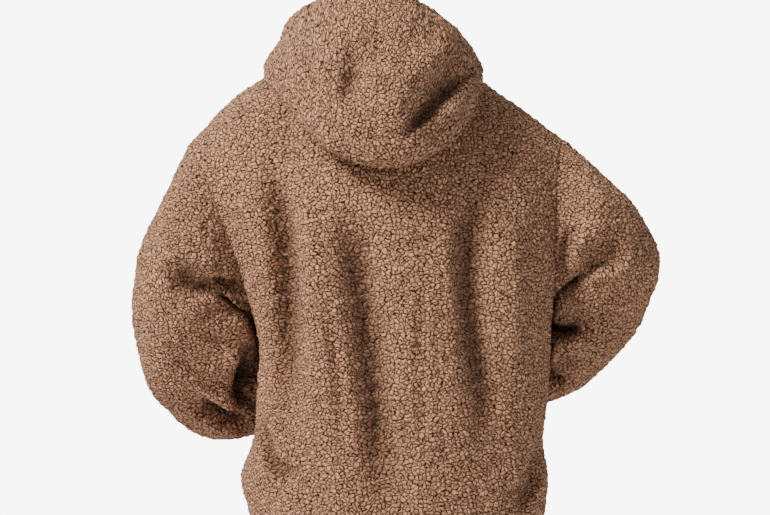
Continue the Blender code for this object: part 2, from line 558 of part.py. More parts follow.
def share_neckline(facing):
    """The walls of the body and the hood meet at the neckline, midway between their directions."""
    half, first = PANEL_COLUMNS, NECK_COLUMN
    last = 2 * half - first
    left, back, right = facing["front_left"], facing["back"], facing["front_right"]
    ring = np.concatenate([left[0, :half - first], back[0, first:last + 1], right[0, first + 1:half + 1]])
    hood = np.concatenate([facing["hood_right"][0], facing["hood_left"][0, 1:]])[::-1]
    step = 2 * HOOD_COLUMNS // (len(ring) - 1)
    ring = ring + hood[::step]
    ring[(0, -1), 0] = 0
    ring = unit(ring)
    for _ in range(NECK_SOFTEN):
        ring[1:-1] = unit(ring[:-2] + 2 * ring[1:-1] + ring[2:])
    at = np.linspace(0, len(ring) - 1, len(hood))
    read = np.stack([np.interp(at, np.arange(len(ring)), ring[:, k]) for k in range(3)], axis=-1)[::-1]
    facing["hood_right"][0], facing["hood_left"][0] = read[:HOOD_COLUMNS + 1], read[HOOD_COLUMNS:]
    back[0, first:last + 1] = ring[half - first:half - first + last - first + 1]
    left[0, :half - first + 1] = ring[:half - first + 1]
    right[0, first:half + 1] = ring[-(half - first + 1):]


# ------------------------------------------------------------------ solids
def new_object(name, bm, look, place=(0.0, 0.0, 0.0)):
    """An object of its own material. look: colour, roughness and metallic."""
    colour, roughness, metallic = look
    finish = bpy.data.materials.new(name)
    finish.use_nodes = True
    shader = finish.node_tree.nodes["Principled BSDF"]
    shader.inputs["Base Color"].default_value = colour
    shader.inputs["Roughness"].default_value = roughness
    shader.inputs["Metallic"].default_value = metallic
    bm.normal_update()
    bmesh.ops.recalc_face_normals(bm, faces=bm.faces)
    mesh = bpy.data.meshes.new(name)
    bm.to_mesh(mesh)
    bm.free()
    mesh.shade_smooth()
    mesh.materials.append(finish)
    obj = bpy.data.objects.new(name, mesh)
    obj.location = place
    bpy.context.scene.collection.objects.link(obj)


def wall(name, outer, inner, look, tube=False):
    """Closed wall between two grids of points. A tube's last column repeats its first."""
    if tube:
        outer, inner = outer[:, :-1], inner[:, :-1]
    bm = bmesh.new()
    sheets = [[[bm.verts.new(point) for point in row] for row in grid] for grid in (outer, inner)]
    rows, columns = outer.shape[:2]
    across = range(columns if tube else columns - 1)
    for sheet in sheets:
        for r in range(rows - 1):
            for c in across:
                n = (c + 1) % columns
                bm.faces.new((sheet[r][c], sheet[r + 1][c], sheet[r][n]))
                bm.faces.new((sheet[r][n], sheet[r + 1][c], sheet[r + 1][n]))
    rims = [[(r, c) for c in range(columns)] + ([(r, 0)] if tube else []) for r in (0, rows - 1)]
    if not tube:
        rims += [[(r, c) for r in range(rows)] for c in (0, columns - 1)]
    for rim in rims:
        for a, b in zip(rim, rim[1:]):
            (r0, c0), (r1, c1) = sorted((a, b), key=lambda place: float(outer[place] @ RIM_ORDER))
            bm.faces.new((sheets[0][r0][c0], sheets[0][r1][c1], sheets[1][r1][c1]))
            bm.faces.new((sheets[0][r0][c0], sheets[1][r1][c1], sheets[1][r0][c0]))
    new_object(name, bm, look)


def tapes(grids, facing):
    """Zip tapes behind the fronts' edges, made from the fronts' own points."""
    for side, edge, step in (("left", 0, 1), ("right", -1, -1)):
        grid, out = grids["front_" + side], facing["front_" + side]
        inward = grid[:, edge + step] - grid[:, edge]
        span = np.linalg.norm(inward, axis=1)[:, None]
        inner = np.full((len(grid), 1), TAPE_PART)
        inner[:TAPE_ROWS_OPEN] = TAPE_SPLIT
        columns = []
        for place in (inner, np.full_like(inner, TAPE_WIDTH)):
            share = place / (ZIP_GAP + span)
            through = unit(out[:, edge] * (1 - share) + out[:, edge + step] * share)
            columns.append((grid[:, edge] + inward * (place - ZIP_GAP) / span - through * TAPE_SINK, through))
        face = np.stack([columns[0][0], columns[1][0]], axis=1)
        through = np.stack([columns[0][1], columns[1][1]], axis=1)
        wall("zip_tape_" + side, face, face - through * TAPE_THICK, TAPE)


def slider_frame(grids, facing):
    """Middle of the slider on the tapes' faces, and its axes: across, out and down."""
    def read(values, edge):
        return values[0, edge] * (1 - SLIDER_ROW) + values[1, edge] * SLIDER_ROW
    left, right = grids["front_left"], grids["front_right"]
    out = unit(read(facing["front_left"], 0) + read(facing["front_right"], -1))
    middle = (read(left, 0) + read(right, -1)) / 2 - out * TAPE_SINK
    down = (left[1, 0] + right[1, -1] - left[0, 0] - right[0, -1]) / 2
    down[0] = 0
    down = unit(down)
    across = np.array((1.0, 0.0, 0.0))
    return middle, np.stack([across, np.cross(down, across), down])


def cells(steps, filled):
    """Closed solid of the filled cells between three lists of steps. filled: function of a cell's middle."""
    bm = bmesh.new()
    corners = {}

    def corner(index):
        if index not in corners:
            corners[index] = bm.verts.new([steps[axis][index[axis]] for axis in range(3)])
        return corners[index]

    sizes = [len(values) - 1 for values in steps]
    full = np.zeros([size + 2 for size in sizes], bool)
    for cell in np.ndindex(*sizes):
        middle = [(steps[axis][cell[axis]] + steps[axis][cell[axis] + 1]) / 2 for axis in range(3)]
        full[tuple(np.add(cell, 1))] = filled(*middle)
    for cell in zip(*np.nonzero(full)):
        for axis in range(3):
            for side in (0, 1):
                beside = list(cell)
                beside[axis] += 2 * side - 1
                if full[tuple(beside)]:
                    continue
                low = np.subtract(cell, 1)
                low[axis] += side
                one, two = np.zeros((2, 3), int)
                one[(axis + 1) % 3] = two[(axis + 2) % 3] = 1
                loop = [corner(tuple(low + step)) for step in (0 * one, one, one + two, two)]
                bm.faces.new(loop if side else loop[::-1])
    return bm


def bevel(bm, width):
    edges = [edge for edge in bm.edges if edge.calc_face_angle() > math.radians(20)]
    bmesh.ops.bevel(bm, geom=edges, offset=width, segments=1, affect="EDGES", profile=0.5)


def slider(middle, axes):
    """Slider: two plates, the post between them, and the arch that holds the pull tab."""
    length, post = SLIDER_LENGTH / 2, POST_WIDTH / 2
    arch = BAIL_SPAN / 2
    back = -TAPE_THICK - SLIDER_SINK
    face = SLIDER_RISE + SLIDER_PLATE
    across = (-SLIDER_WIDTH / 2, -post, post, SLIDER_WIDTH / 2)
    out = (back - SLIDER_PLATE, back, SLIDER_RISE, face, face + BAIL_RISE - BAIL_BAR, face + BAIL_RISE)
    down = (-length, -arch, -arch + BAIL_BAR, -arch + POST_LENGTH, arch - BAIL_BAR, arch, length)

    def filled(x, n, t):
        if n < back or SLIDER_RISE < n < face:
            return True
        if abs(x) > post or abs(t) > arch:
            return False
        if n < SLIDER_RISE:
            return t < -arch + POST_LENGTH
        return n > face + BAIL_RISE - BAIL_BAR or abs(t) > arch - BAIL_BAR

    bm = cells((across, out, down), filled)
    for vert in bm.verts:
        if abs(vert.co.x) > post:
            vert.co.x *= 1 - (1 - SLIDER_TAPER) * (vert.co.z + length) / SLIDER_LENGTH
    bevel(bm, METAL_BEVEL)
    for vert in bm.verts:
        vert.co = middle + np.array(vert.co) @ axes
    new_object("zip_slider", bm, METAL)


def pull(middle, axes):
    """Pull tab, which hangs from its bar under the arch. Its origin is on its axis."""
    outline = table(PULL_COLUMNS, PULL_OUTLINE)
    widest = outline["half"].max()
    eye_end = outline["below"][2]
    across = (-widest, -PULL_EYE / 2, PULL_EYE / 2, widest)
    thick = (-PULL_BAR / 2, PULL_BAR / 2)

    def filled(x, n, t):
        return abs(x) > PULL_EYE / 2 or t < PULL_BAR / 2 or t > eye_end

    bm = cells((across, thick, tuple(outline["below"])), filled)
    for vert in bm.verts:
        half = np.interp(vert.co.z, outline["below"], outline["half"])
        if abs(vert.co.x) > PULL_EYE / 2:
            vert.co.x *= half / widest
        elif half < PULL_EYE / 2 + METAL_BEVEL * 4:
            vert.co.x *= 0.5
    bevel(bm, METAL_BEVEL)
    for vert in bm.verts:
        vert.co = (vert.co.x, -vert.co.y, -vert.co.z)
    below, above = PULL_AXIS
    new_object("zip_pull", bm, METAL, middle + axes[2] * below + axes[1] * (SLIDER_RISE + SLIDER_PLATE + above))


if __name__ == "__main__":
    for obj in list(bpy.data.objects):
        bpy.data.objects.remove(obj, do_unlink=True)
    grids, facing = cloth_pieces()
    for name, grid in grids.items():
        wall(name, grid, grid - facing[name] * CLOTH, SHERPA, name.startswith("sleeve"))
    tapes(grids, facing)
    frame = slider_frame(grids, facing)
    slider(*frame)
    pull(*frame)
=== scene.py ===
"""Looks of the sherpa hooded jacket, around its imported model. Metres, in the model's frame.

The cloth is computed as the solids are, from the same tables, and then made finer: a thin shell of curly
pile outside and of knit ground inside. The front faces -Y, and the wearer's left is +X.
"""

import math

import bmesh
import bpy
import numpy as np
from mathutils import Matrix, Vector


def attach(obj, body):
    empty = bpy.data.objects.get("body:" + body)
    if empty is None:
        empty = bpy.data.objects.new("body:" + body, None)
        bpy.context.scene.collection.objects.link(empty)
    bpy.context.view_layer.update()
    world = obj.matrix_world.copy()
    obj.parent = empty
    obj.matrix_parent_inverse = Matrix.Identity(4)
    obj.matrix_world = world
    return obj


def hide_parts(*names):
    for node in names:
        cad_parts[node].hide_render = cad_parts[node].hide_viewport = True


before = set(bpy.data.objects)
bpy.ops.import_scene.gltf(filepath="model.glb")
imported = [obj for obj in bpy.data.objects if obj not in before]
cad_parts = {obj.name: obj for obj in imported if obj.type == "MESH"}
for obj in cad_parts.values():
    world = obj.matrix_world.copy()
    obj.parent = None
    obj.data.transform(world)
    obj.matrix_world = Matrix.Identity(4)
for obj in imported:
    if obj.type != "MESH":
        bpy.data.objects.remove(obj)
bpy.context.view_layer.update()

# ------------------------------------------------------------------ driving sizes
CLOTH = 0.008            # knit ground and pile together
SEAM = 0.0003            # clearance between two sewn pieces
PANEL_COLUMNS = 13       # columns of a half panel, from the side seam to the centre
NECK_COLUMN = 9          # column where the shoulder seam ends and the neckline starts
UPPER_ROWS = 14          # rows from the shoulder seam down to the armpit
LOWER_ROWS = 16          # rows from the armpit down to the hem
SLEEVE_ROWS = 28
HOOD_COLUMNS = 16        # columns of one half of the hood
HOOD_ROWS = 22

HOOD_HELD = 2            # rows of the hood that stay on the neckline
HOOD_INSIDE = 0.48       # share of the rows that lie against the body, free of folds
HOOD_TURN = 0.14         # share of the rows over which the folds set in
HOOD_SOFTEN = 2
NECK_SOFTEN = 2
HOOD_EASE = 0.0005       # clearance between the hood and the neckline
SLEEVE_HELD = 5          # rows of a sleeve that stay at the armhole
SLEEVE_TURN = 3          # rings of a sleeve over which its folds set in
HOOD_REST = 0.010        # clearance between the hood and the body it rests on
SLEEVE_REST = 0.005      # clearance between a sleeve and the body beside it
SEAM_EASE = 6            # rows over which the shoulder seam's shift fades
REST_STEPS = 4
REST_NEIGHBOURS = 6
REST_BLUR = 0.004

ZIP_GAP = 0.0055         # half of the gap between the fronts
TAPE_WIDTH = 0.015       # from the middle of the zip to a tape's outer edge
TAPE_PART = 0.0003       # from the middle to a closed tape's inner edge
TAPE_SPLIT = 0.0024      # from the middle to the inner edge above the slider
TAPE_THICK = 0.0012
TAPE_SINK = CLOTH + 0.0004   # from the pile's tips down to the tape's face
TAPE_ROWS_OPEN = 2       # rows of the tapes that stand apart above the slider

SLIDER_ROW = 0.55        # place of the slider's middle, in rows below the neckline

# ------------------------------------------------------------------ body
# Level sections of the body. side_y is the depth of the widest point.
SECTION_COLUMNS = ("z", "left", "right", "back", "front", "side_y", "square")
SECTIONS = (
    (-0.150, 0.262, -0.272, 0.118, -0.118, 0.005, 2.2),
    (-0.250, 0.246, -0.270, 0.140, -0.135, 0.010, 2.3),
    (-0.335, 0.213, -0.259, 0.148, -0.145, 0.015, 2.4),
    (-0.417, 0.191, -0.254, 0.150, -0.148, 0.015, 2.4),
    (-0.505, 0.198, -0.250, 0.150, -0.148, 0.015, 2.4),
    (-0.560, 0.200, -0.243, 0.152, -0.146, 0.010, 2.4),
    (-0.640, 0.206, -0.243, 0.155, -0.146, 0.005, 2.3),
    (-0.715, 0.204, -0.243, 0.158, -0.148, 0.000, 2.3),
)
HEM_LEFT, HEM_RIGHT = -0.712, -0.705

# The top edge of a whole panel, from the left side seam (0) to the right one (1), the way the cloth
# leaves it, and the way it rises from the yoke, where the panel joins the level sections.
TOP_COLUMNS = ("at", "x", "y", "z", "leave_x", "leave_y", "leave_z", "yoke", "rise_x", "rise_y", "rise_z")
BACK_TOP = (
    (0.000, 0.302, 0.004, -0.102, -0.020, 0.085, -0.030, -0.372, 0.006, 0.080, 0.050),
    (0.175, 0.214, 0.000, -0.018, -0.010, 0.085, -0.010, -0.330, 0.004, 0.030, 0.090),
    (0.345, 0.096, 0.000, 0.034, -0.004, 0.060, -0.002, -0.290, 0.000, 0.010, 0.110),
    (0.420, 0.066, 0.042, 0.024, -0.002, 0.055, -0.012, -0.270, 0.000, 0.010, 0.105),
    (0.500, 0.010, 0.062, 0.016, 0.000, 0.050, -0.020, -0.260, 0.000, 0.010, 0.100),
    (0.580, -0.048, 0.042, 0.020, 0.002, 0.055, -0.012, -0.270, 0.000, 0.010, 0.105),
    (0.655, -0.078, 0.000, 0.028, 0.004, 0.060, -0.002, -0.290, 0.000, 0.010, 0.110),
    (0.825, -0.186, 0.000, -0.032, 0.010, 0.080, -0.014, -0.320, 0.000, 0.030, 0.090),
    (1.000, -0.276, 0.004, -0.098, 0.020, 0.080, -0.040, -0.345, 0.000, 0.080, 0.050),
)
FRONT_TOP = (
    (0.000, 0.302, 0.004, -0.102, -0.020, -0.085, -0.030, -0.372, 0.004, -0.080, 0.050),
    (0.175, 0.214, 0.000, -0.018, -0.010, -0.080, -0.015, -0.330, 0.004, -0.030, 0.090),
    (0.345, 0.096, 0.000, 0.034, -0.002, -0.055, -0.012, -0.310, 0.000, -0.005, 0.120),
    (0.420, 0.076, -0.062, -0.014, 0.000, -0.030, -0.040, -0.300, 0.000, 0.004, 0.100),
    (0.500, 0.008, -0.104, -0.058, 0.000, -0.006, -0.070, -0.290, 0.000, 0.012, 0.090),
    (0.580, -0.060, -0.062, -0.018, 0.000, -0.030, -0.040, -0.300, 0.000, 0.004, 0.100),
    (0.655, -0.078, 0.000, 0.028, 0.002, -0.055, -0.012, -0.310, 0.000, -0.005, 0.120),
    (0.825, -0.186, 0.000, -0.032, 0.010, -0.078, -0.018, -0.320, 0.000, -0.030, 0.090),
    (1.000, -0.276, 0.004, -0.098, 0.020, -0.080, -0.040, -0.345, 0.000, -0.080, 0.050),
)

# ------------------------------------------------------------------ sleeves
# Rings of a sleeve: its outer and inner point and half of its thickness across them.
RING_COLUMNS = ("outer_x", "outer_y", "outer_z", "inner_x", "inner_y", "inner_z", "half")
SLEEVE_LEFT = (
    (0.334, 0.020, -0.175, 0.234, 0.004, -0.352, 0.090),    # below the shoulder point
    (0.369, 0.035, -0.255, 0.254, -0.012, -0.336, 0.090),   # above the elbow
    (0.381, 0.040, -0.345, 0.250, -0.036, -0.343, 0.086),   # elbow
    (0.374, 0.010, -0.440, 0.224, -0.064, -0.354, 0.080),   # below the elbow
    (0.345, -0.045, -0.520, 0.190, -0.094, -0.415, 0.074),  # forearm
    (0.292, -0.105, -0.566, 0.168, -0.130, -0.448, 0.064),  # above the wrist
    (0.236, -0.160, -0.562, 0.156, -0.168, -0.470, 0.050),  # cuff
)
SLEEVE_RIGHT = (
    (-0.328, 0.020, -0.148, -0.286, 0.004, -0.320, 0.088),
    (-0.384, 0.032, -0.208, -0.299, -0.012, -0.308, 0.086),
    (-0.417, 0.036, -0.288, -0.292, -0.036, -0.316, 0.080),
    (-0.401, 0.012, -0.362, -0.272, -0.064, -0.328, 0.074),
    (-0.366, -0.035, -0.432, -0.246, -0.096, -0.376, 0.068),
    (-0.310, -0.092, -0.490, -0.216, -0.132, -0.410, 0.060),
    (-0.250, -0.150, -0.524, -0.194, -0.170, -0.440, 0.048),
)

# ------------------------------------------------------------------ hood
# Sections of the hood around the neckline, from the left throat (0) by the nape (0.5) to the right one.
# pouch: 0 where the hood stands like a collar, 1 where it hangs as a bag.
HOOD_COLUMNS_NAMED = ("at", "pouch", "reach", "drop", "rim_out", "rim_up", "roll")
HOOD_SECTIONS = (
    (0.00, 0.00, 0.030, 0.010, 0.020, 0.085, 0.020),
    (0.13, 0.08, 0.062, 0.012, 0.034, 0.080, 0.024),
    (0.26, 0.76, 0.108, 0.028, 0.040, 0.066, 0.024),
    (0.38, 1.00, 0.122, 0.120, 0.052, 0.090, 0.030),
    (0.50, 1.00, 0.145, 0.194, 0.065, 0.112, 0.032),
    (0.62, 1.00, 0.120, 0.140, 0.034, 0.080, 0.030),
    (0.74, 0.76, 0.098, 0.032, 0.022, 0.054, 0.022),
    (0.87, 0.08, 0.060, 0.012, 0.030, 0.074, 0.024),
    (1.00, 0.00, 0.030, 0.010, 0.020, 0.085, 0.020),
)
# The bag's section, from the neckline out, down, round and up to the rim.
BAG_COLUMNS = ("out", "down", "roll", "up", "lean", "stand")
BAG_SECTION = (
    (0.00, 0.00, 0.00, 0.00, 0.00, 0.00),
    (0.02, 0.00, 0.70, 0.00, 0.08, 0.14),
    (0.14, 0.00, 1.00, 0.00, 0.16, 0.26),
    (0.30, 0.06, 0.60, 0.00, 0.26, 0.38),
    (0.50, 0.45, 0.00, 0.00, 0.40, 0.50),
    (0.66, 0.84, 0.00, 0.00, 0.52, 0.60),
    (0.84, 1.00, 0.00, 0.00, 0.64, 0.69),
    (1.01, 0.95, 0.00, 0.03, 0.76, 0.76),
    (1.05, 0.66, 0.00, 0.14, 0.86, 0.82),
    (0.90, 0.25, 0.00, 0.42, 0.93, 0.88),
    (0.74, 0.06, 0.00, 0.72, 0.97, 0.94),
)

# ------------------------------------------------------------------ folds
# A fold follows three points, given by x and z. side: 1 on the back, -1 on the front.
# depth is negative for a trough; the cloth on both sides of a trough rises a little.
FOLD_COLUMNS = ("piece", "side", "depth", "width", "x1", "z1", "x2", "z2", "x3", "z3")
FOLDS = (
    ("body", 1, -0.018, 0.026, 0.172, -0.120, 0.142, -0.330, 0.152, -0.560),
    ("body", 1, 0.008, 0.026, 0.120, -0.150, 0.098, -0.420, 0.094, -0.720),
    ("body", 1, -0.017, 0.028, 0.054, -0.200, 0.022, -0.400, -0.010, -0.740),
    ("body", 1, -0.016, 0.028, -0.128, -0.150, -0.130, -0.360, -0.170, -0.600),
    ("body", 1, 0.006, 0.018, -0.190, -0.200, -0.192, -0.350, -0.200, -0.480),
    ("body", 1, -0.016, 0.014, 0.200, -0.520, 0.172, -0.590, 0.134, -0.622),
    ("body", 1, -0.014, 0.013, -0.244, -0.560, -0.222, -0.612, -0.186, -0.655),
    ("body", -1, -0.013, 0.022, 0.150, -0.150, 0.120, -0.340, 0.130, -0.560),
    ("body", -1, -0.012, 0.022, 0.092, -0.240, 0.096, -0.450, 0.080, -0.740),
    ("body", -1, -0.012, 0.024, -0.150, -0.170, -0.150, -0.380, -0.170, -0.600),
    ("body", -1, -0.011, 0.022, -0.085, -0.260, -0.098, -0.460, -0.088, -0.740),
    ("left", 1, -0.016, 0.018, 0.256, -0.330, 0.284, -0.322, 0.330, -0.312),
    ("left", 1, -0.012, 0.018, 0.180, -0.445, 0.232, -0.470, 0.262, -0.500),
    ("left", 1, -0.010, 0.018, 0.215, -0.530, 0.262, -0.522, 0.318, -0.500),
    ("left", 1, -0.007, 0.022, 0.330, -0.200, 0.300, -0.290, 0.330, -0.400),
    ("left", -1, -0.012, 0.018, 0.272, -0.343, 0.305, -0.340, 0.355, -0.330),
    ("left", -1, -0.010, 0.018, 0.255, -0.380, 0.295, -0.402, 0.350, -0.420),
    ("right", 1, -0.015, 0.018, -0.300, -0.296, -0.325, -0.280, -0.365, -0.266),
    ("right", 1, 0.006, 0.018, -0.300, -0.300, -0.350, -0.296, -0.405, -0.292),
    ("right", 1, -0.010, 0.017, -0.245, -0.396, -0.278, -0.392, -0.318, -0.372),
    ("right", 1, -0.009, 0.017, -0.240, -0.468, -0.268, -0.455, -0.300, -0.430),
    ("right", -1, -0.012, 0.018, -0.312, -0.316, -0.340, -0.312, -0.390, -0.296),
    ("right", -1, -0.010, 0.018, -0.292, -0.352, -0.330, -0.364, -0.375, -0.370),
    ("hood", 1, -0.024, 0.017, -0.118, 0.012, -0.068, -0.055, -0.030, -0.118),
    ("hood", 1, -0.012, 0.018, 0.006, 0.080, 0.050, -0.018, 0.062, -0.062),
    ("hood", 1, 0.010, 0.016, -0.110, 0.040, -0.030, -0.010, 0.034, -0.036),
)
FOLD_FADE = 0.30         # share of a fold's length over which each end fades
FLANK = 0.35             # rise beside a trough, as a share of its depth
FLANK_AT = 2.0           # from the trough's middle to its flank's, in widths of the fold
FLANK_WIDTH = 0.8
FOLD_STEPS = 25          # points along a fold
FOLD_TURN = 2.0          # how fast a fold sets in where the cloth turns to its side

# Soft bulges: centre, radii and push, all along x, y and z.
BULGE_COLUMNS = ("piece", "x", "y", "z", "rx", "ry", "rz", "dx", "dy", "dz")
BULGES = (
    ("body", 0.205, -0.050, -0.622, 0.060, 0.080, 0.052, 0.024, -0.008, 0.0),
    ("body", -0.240, -0.050, -0.626, 0.060, 0.080, 0.050, -0.014, -0.008, 0.0),
    ("left", 0.225, -0.020, -0.392, 0.042, 0.070, 0.048, -0.010, 0.040, 0.0),
    ("left", 0.250, 0.030, -0.400, 0.050, 0.060, 0.046, 0.0, 0.012, 0.0),
    ("right", -0.285, -0.010, -0.333, 0.040, 0.060, 0.034, 0.006, 0.026, 0.0),
    ("right", -0.275, -0.030, -0.424, 0.036, 0.060, 0.028, 0.008, 0.028, 0.0),
    ("hood", 0.175, 0.060, -0.012, 0.042, 0.080, 0.030, 0.014, 0.0, -0.004),
    ("hood", 0.160, 0.060, 0.052, 0.042, 0.080, 0.022, -0.009, 0.0, 0.0),
    ("hood", -0.140, 0.060, 0.070, 0.050, 0.080, 0.042, 0.014, 0.0, 0.0),
)


# ------------------------------------------------------------------ curves
def table(names, rows):
    """A table's columns by name."""
    return {name: np.array([row[k] for row in rows], float) for k, name in enumerate(names)}


def curve(x, knots, values):
    """Smooth curve through the values at the knots, read at x."""
    knots = np.asarray(knots, float)
    values = np.asarray(values, float)
    order = np.argsort(knots)
    knots, values = knots[order], values[order]
    shape = (-1,) + (1,) * (values.ndim - 1)
    steps = np.diff(knots).reshape(shape)
    slopes = np.diff(values, axis=0) / steps
    tangents = np.empty_like(values)
    tangents[0], tangents[-1] = slopes[0], slopes[-1]
    weight = steps[1:] / (steps[1:] + steps[:-1])
    tangents[1:-1] = weight * slopes[:-1] + (1 - weight) * slopes[1:]
    x = np.clip(np.asarray(x, float), knots[0], knots[-1])
    k = np.clip(np.searchsorted(knots, x, side="right") - 1, 0, len(knots) - 2)
    span = knots[k + 1] - knots[k]
    s = (x - knots[k]) / span
    lift = (Ellipsis,) + (None,) * (values.ndim - 1)
    s, span = s[lift], span[lift]
    return ((1 + 2 * s) * (1 - s) ** 2 * values[k] + s * (1 - s) ** 2 * span * tangents[k]
            + s * s * (3 - 2 * s) * values[k + 1] + s * s * (s - 1) * span * tangents[k + 1])


def unit(v):
    return v / np.maximum(np.linalg.norm(v, axis=-1, keepdims=True), 1e-12)

def smooth(share):
    """A share held between 0 and 1, with soft ends."""
    share = np.clip(share, 0, 1)
    return share * share * (3 - 2 * share)


def vectors(read, stem=""):
    """The x, y and z columns of a table whose names start with the stem, as vectors."""
    return np.stack([read[stem + axis] for axis in "xyz"], axis=-1)


def read_line(places, knots, points):
    """Points of a line, straight between its knots, at the given places."""
    return np.stack([np.interp(places, knots, points[:, k]) for k in range(3)], axis=-1)


def arc_lengths(grid, axis):
    """Length from the grid's first edge along an axis to each of its points."""
    steps = np.linalg.norm(np.diff(grid, axis=axis), axis=-1)
    pad = np.zeros_like(np.take(steps, [0], axis=axis))
    return np.concatenate([pad, np.cumsum(steps, axis=axis)], axis=axis)

def normals(grid):
    """Normals of a grid of points, by the cross product of its two directions."""
    down = np.gradient(grid, axis=0)
    along = np.gradient(grid, axis=1)
    return unit(np.cross(down, along))


# ------------------------------------------------------------------ body surface
def section_point(angle, z):
    """Point of the body at a level. The angle is 0 at the left side and 90 degrees at the back."""
    t = table(SECTION_COLUMNS, SECTIONS)
    read = {name: curve(z, t["z"], t[name]) for name in SECTION_COLUMNS[1:]}
    c, s = np.cos(angle), np.sin(angle)
    power = 2.0 / read["square"]
    middle, half = (read["left"] + read["right"]) / 2, (read["left"] - read["right"]) / 2
    x = middle + half * np.sign(c) * np.abs(c) ** power
    reach = np.where(s >= 0, read["back"] - read["side_y"], read["side_y"] - read["front"])
    y = read["side_y"] + reach * np.sign(s) * np.abs(s) ** power
    return np.stack([x, y, z + 0 * x], axis=-1)


def panel(rows, face):
    """Grid of a panel, from the left side seam to the right one, shoulder row first."""
    at = np.linspace(0.0, 1.0, 2 * PANEL_COLUMNS + 1)
    t = table(TOP_COLUMNS, rows)
    read = {name: curve(at, t["at"], t[name]) for name in TOP_COLUMNS[1:]}
    top, leave, rise = (vectors(read, stem) for stem in ("", "leave_", "rise_"))
    yoke = section_point(face * at * math.pi, read["yoke"])
    hem = HEM_LEFT + (HEM_RIGHT - HEM_LEFT) * at
    grid = np.empty((UPPER_ROWS + LOWER_ROWS + 1, len(at), 3))
    for row in range(UPPER_ROWS + 1):
        s = row / UPPER_ROWS
        grid[row] = ((1 - s) ** 3 * top + 3 * s * (1 - s) ** 2 * (top + leave)
                     + 3 * s * s * (1 - s) * (yoke + rise) + s ** 3 * yoke)
    for row in range(1, LOWER_ROWS + 1):
        level = read["yoke"] + (hem - read["yoke"]) * row / LOWER_ROWS
        grid[UPPER_ROWS + row] = section_point(face * at * math.pi, level)
    return grid


def sleeve_tube(hole, rows, count):
    """Grid of a sleeve. hole is its first ring, from the shoulder point by the back to the armpit."""
    around = len(hole) - 1
    t = table(RING_COLUMNS, rows)
    outer, inner = vectors(t, "outer_"), vectors(t, "inner_")
    middle = (outer + inner) / 2
    first = (hole[0] + hole[around // 2]) / 2
    path = np.vstack([first, middle])
    tangent = unit(np.gradient(path, axis=0))[1:]
    long_axis = (outer - inner) / 2
    back = unit(np.cross(long_axis, tangent))
    back = np.where(back[:1, 1:2] < 0, -back, back)
    turn = np.linspace(0, 2 * math.pi, around + 1)[None, :, None]
    rings = (middle[:, None] + long_axis[:, None] * np.cos(turn)
             + (back * t["half"][:, None])[:, None] * np.sin(turn))
    rings = np.concatenate([hole[None], rings])
    knots = arc_lengths(path, 0)
    return curve(np.linspace(0, knots[-1], count + 1), knots, rings)


def hood_bag(neckline, centre, columns, rows):
    """Grid of the whole hood, and how much of a bag each column is.

    The first row is the neckline, the last one the rim of the face opening.
    """
    at = np.linspace(0, 1, columns + 1)
    base = read_line(at, np.linspace(0, 1, len(neckline)), neckline)
    t = table(HOOD_COLUMNS_NAMED, HOOD_SECTIONS)
    read = {name: curve(at, t["at"], t[name]) for name in HOOD_COLUMNS_NAMED[1:]}
    out = base - centre
    out[:, 2] = 0
    out = unit(out)
    bag = table(BAG_COLUMNS, BAG_SECTION)
    pouch = read["pouch"][None]
    away = (pouch * (bag["out"][:, None] * read["reach"])
            + (1 - pouch) * bag["lean"][:, None] * read["rim_out"])
    height = (pouch * (-bag["down"][:, None] * read["drop"] + bag["roll"][:, None] * read["roll"]
                       + bag["up"][:, None] * read["rim_up"])
              + (1 - pouch) * bag["stand"][:, None] * read["rim_up"])
    keys = base[None] + away[..., None] * out[None]
    keys[..., 2] += height
    rim = base + read["rim_out"][:, None] * out
    rim[:, 2] += read["rim_up"]
    keys = np.concatenate([keys, rim[None]])
    knots = arc_lengths(keys[:, columns // 2], 0)
    return curve(np.linspace(0, knots[-1], rows + 1), knots, keys), read["pouch"]


def rest_on(grid, bodies, gap, held, tube=False, share=1.0):
    """Pushes a grid's points out of the bodies' surfaces, to a gap from them. The first rows are held."""
    points = np.concatenate([body.reshape(-1, 3) for body, _ in bodies])
    facing = np.concatenate([out.reshape(-1, 3) for _, out in bodies])
    hold = np.clip((np.arange(len(grid)) - held + 1) / held, 0, 1)[:, None]
    for _ in range(REST_STEPS):
        distance = np.linalg.norm(grid[..., None, :] - points, axis=-1)
        near = distance.argsort(axis=-1)[..., :REST_NEIGHBOURS]
        weight = 1.0 / (np.take_along_axis(distance, near, axis=-1) ** 2 + REST_BLUR ** 2)
        weight /= weight.sum(axis=-1, keepdims=True)
        out = unit((facing[near] * weight[..., None]).sum(axis=-2))
        away = ((grid - (points[near] * weight[..., None]).sum(axis=-2)) * out).sum(axis=-1)
        push = out * (np.clip(gap - away, 0, None) * hold)[..., None] * share
        eased = soften(push, tube)
        grid = grid + np.maximum(np.abs(push), np.abs(eased)) * np.sign(eased)
    return grid


def even_rows(grid):
    """A grid with its rows set evenly along each column, and its inner points averaged."""
    length = arc_lengths(grid, 0)
    even = np.empty_like(grid)
    for column in range(grid.shape[1]):
        at = np.linspace(0, length[-1, column], len(grid))
        even[:, column] = read_line(at, length[:, column], grid[:, column])
    for _ in range(HOOD_SOFTEN):
        even[1:-1, 1:-1] = soften(even, False)[1:-1, 1:-1]
    return even


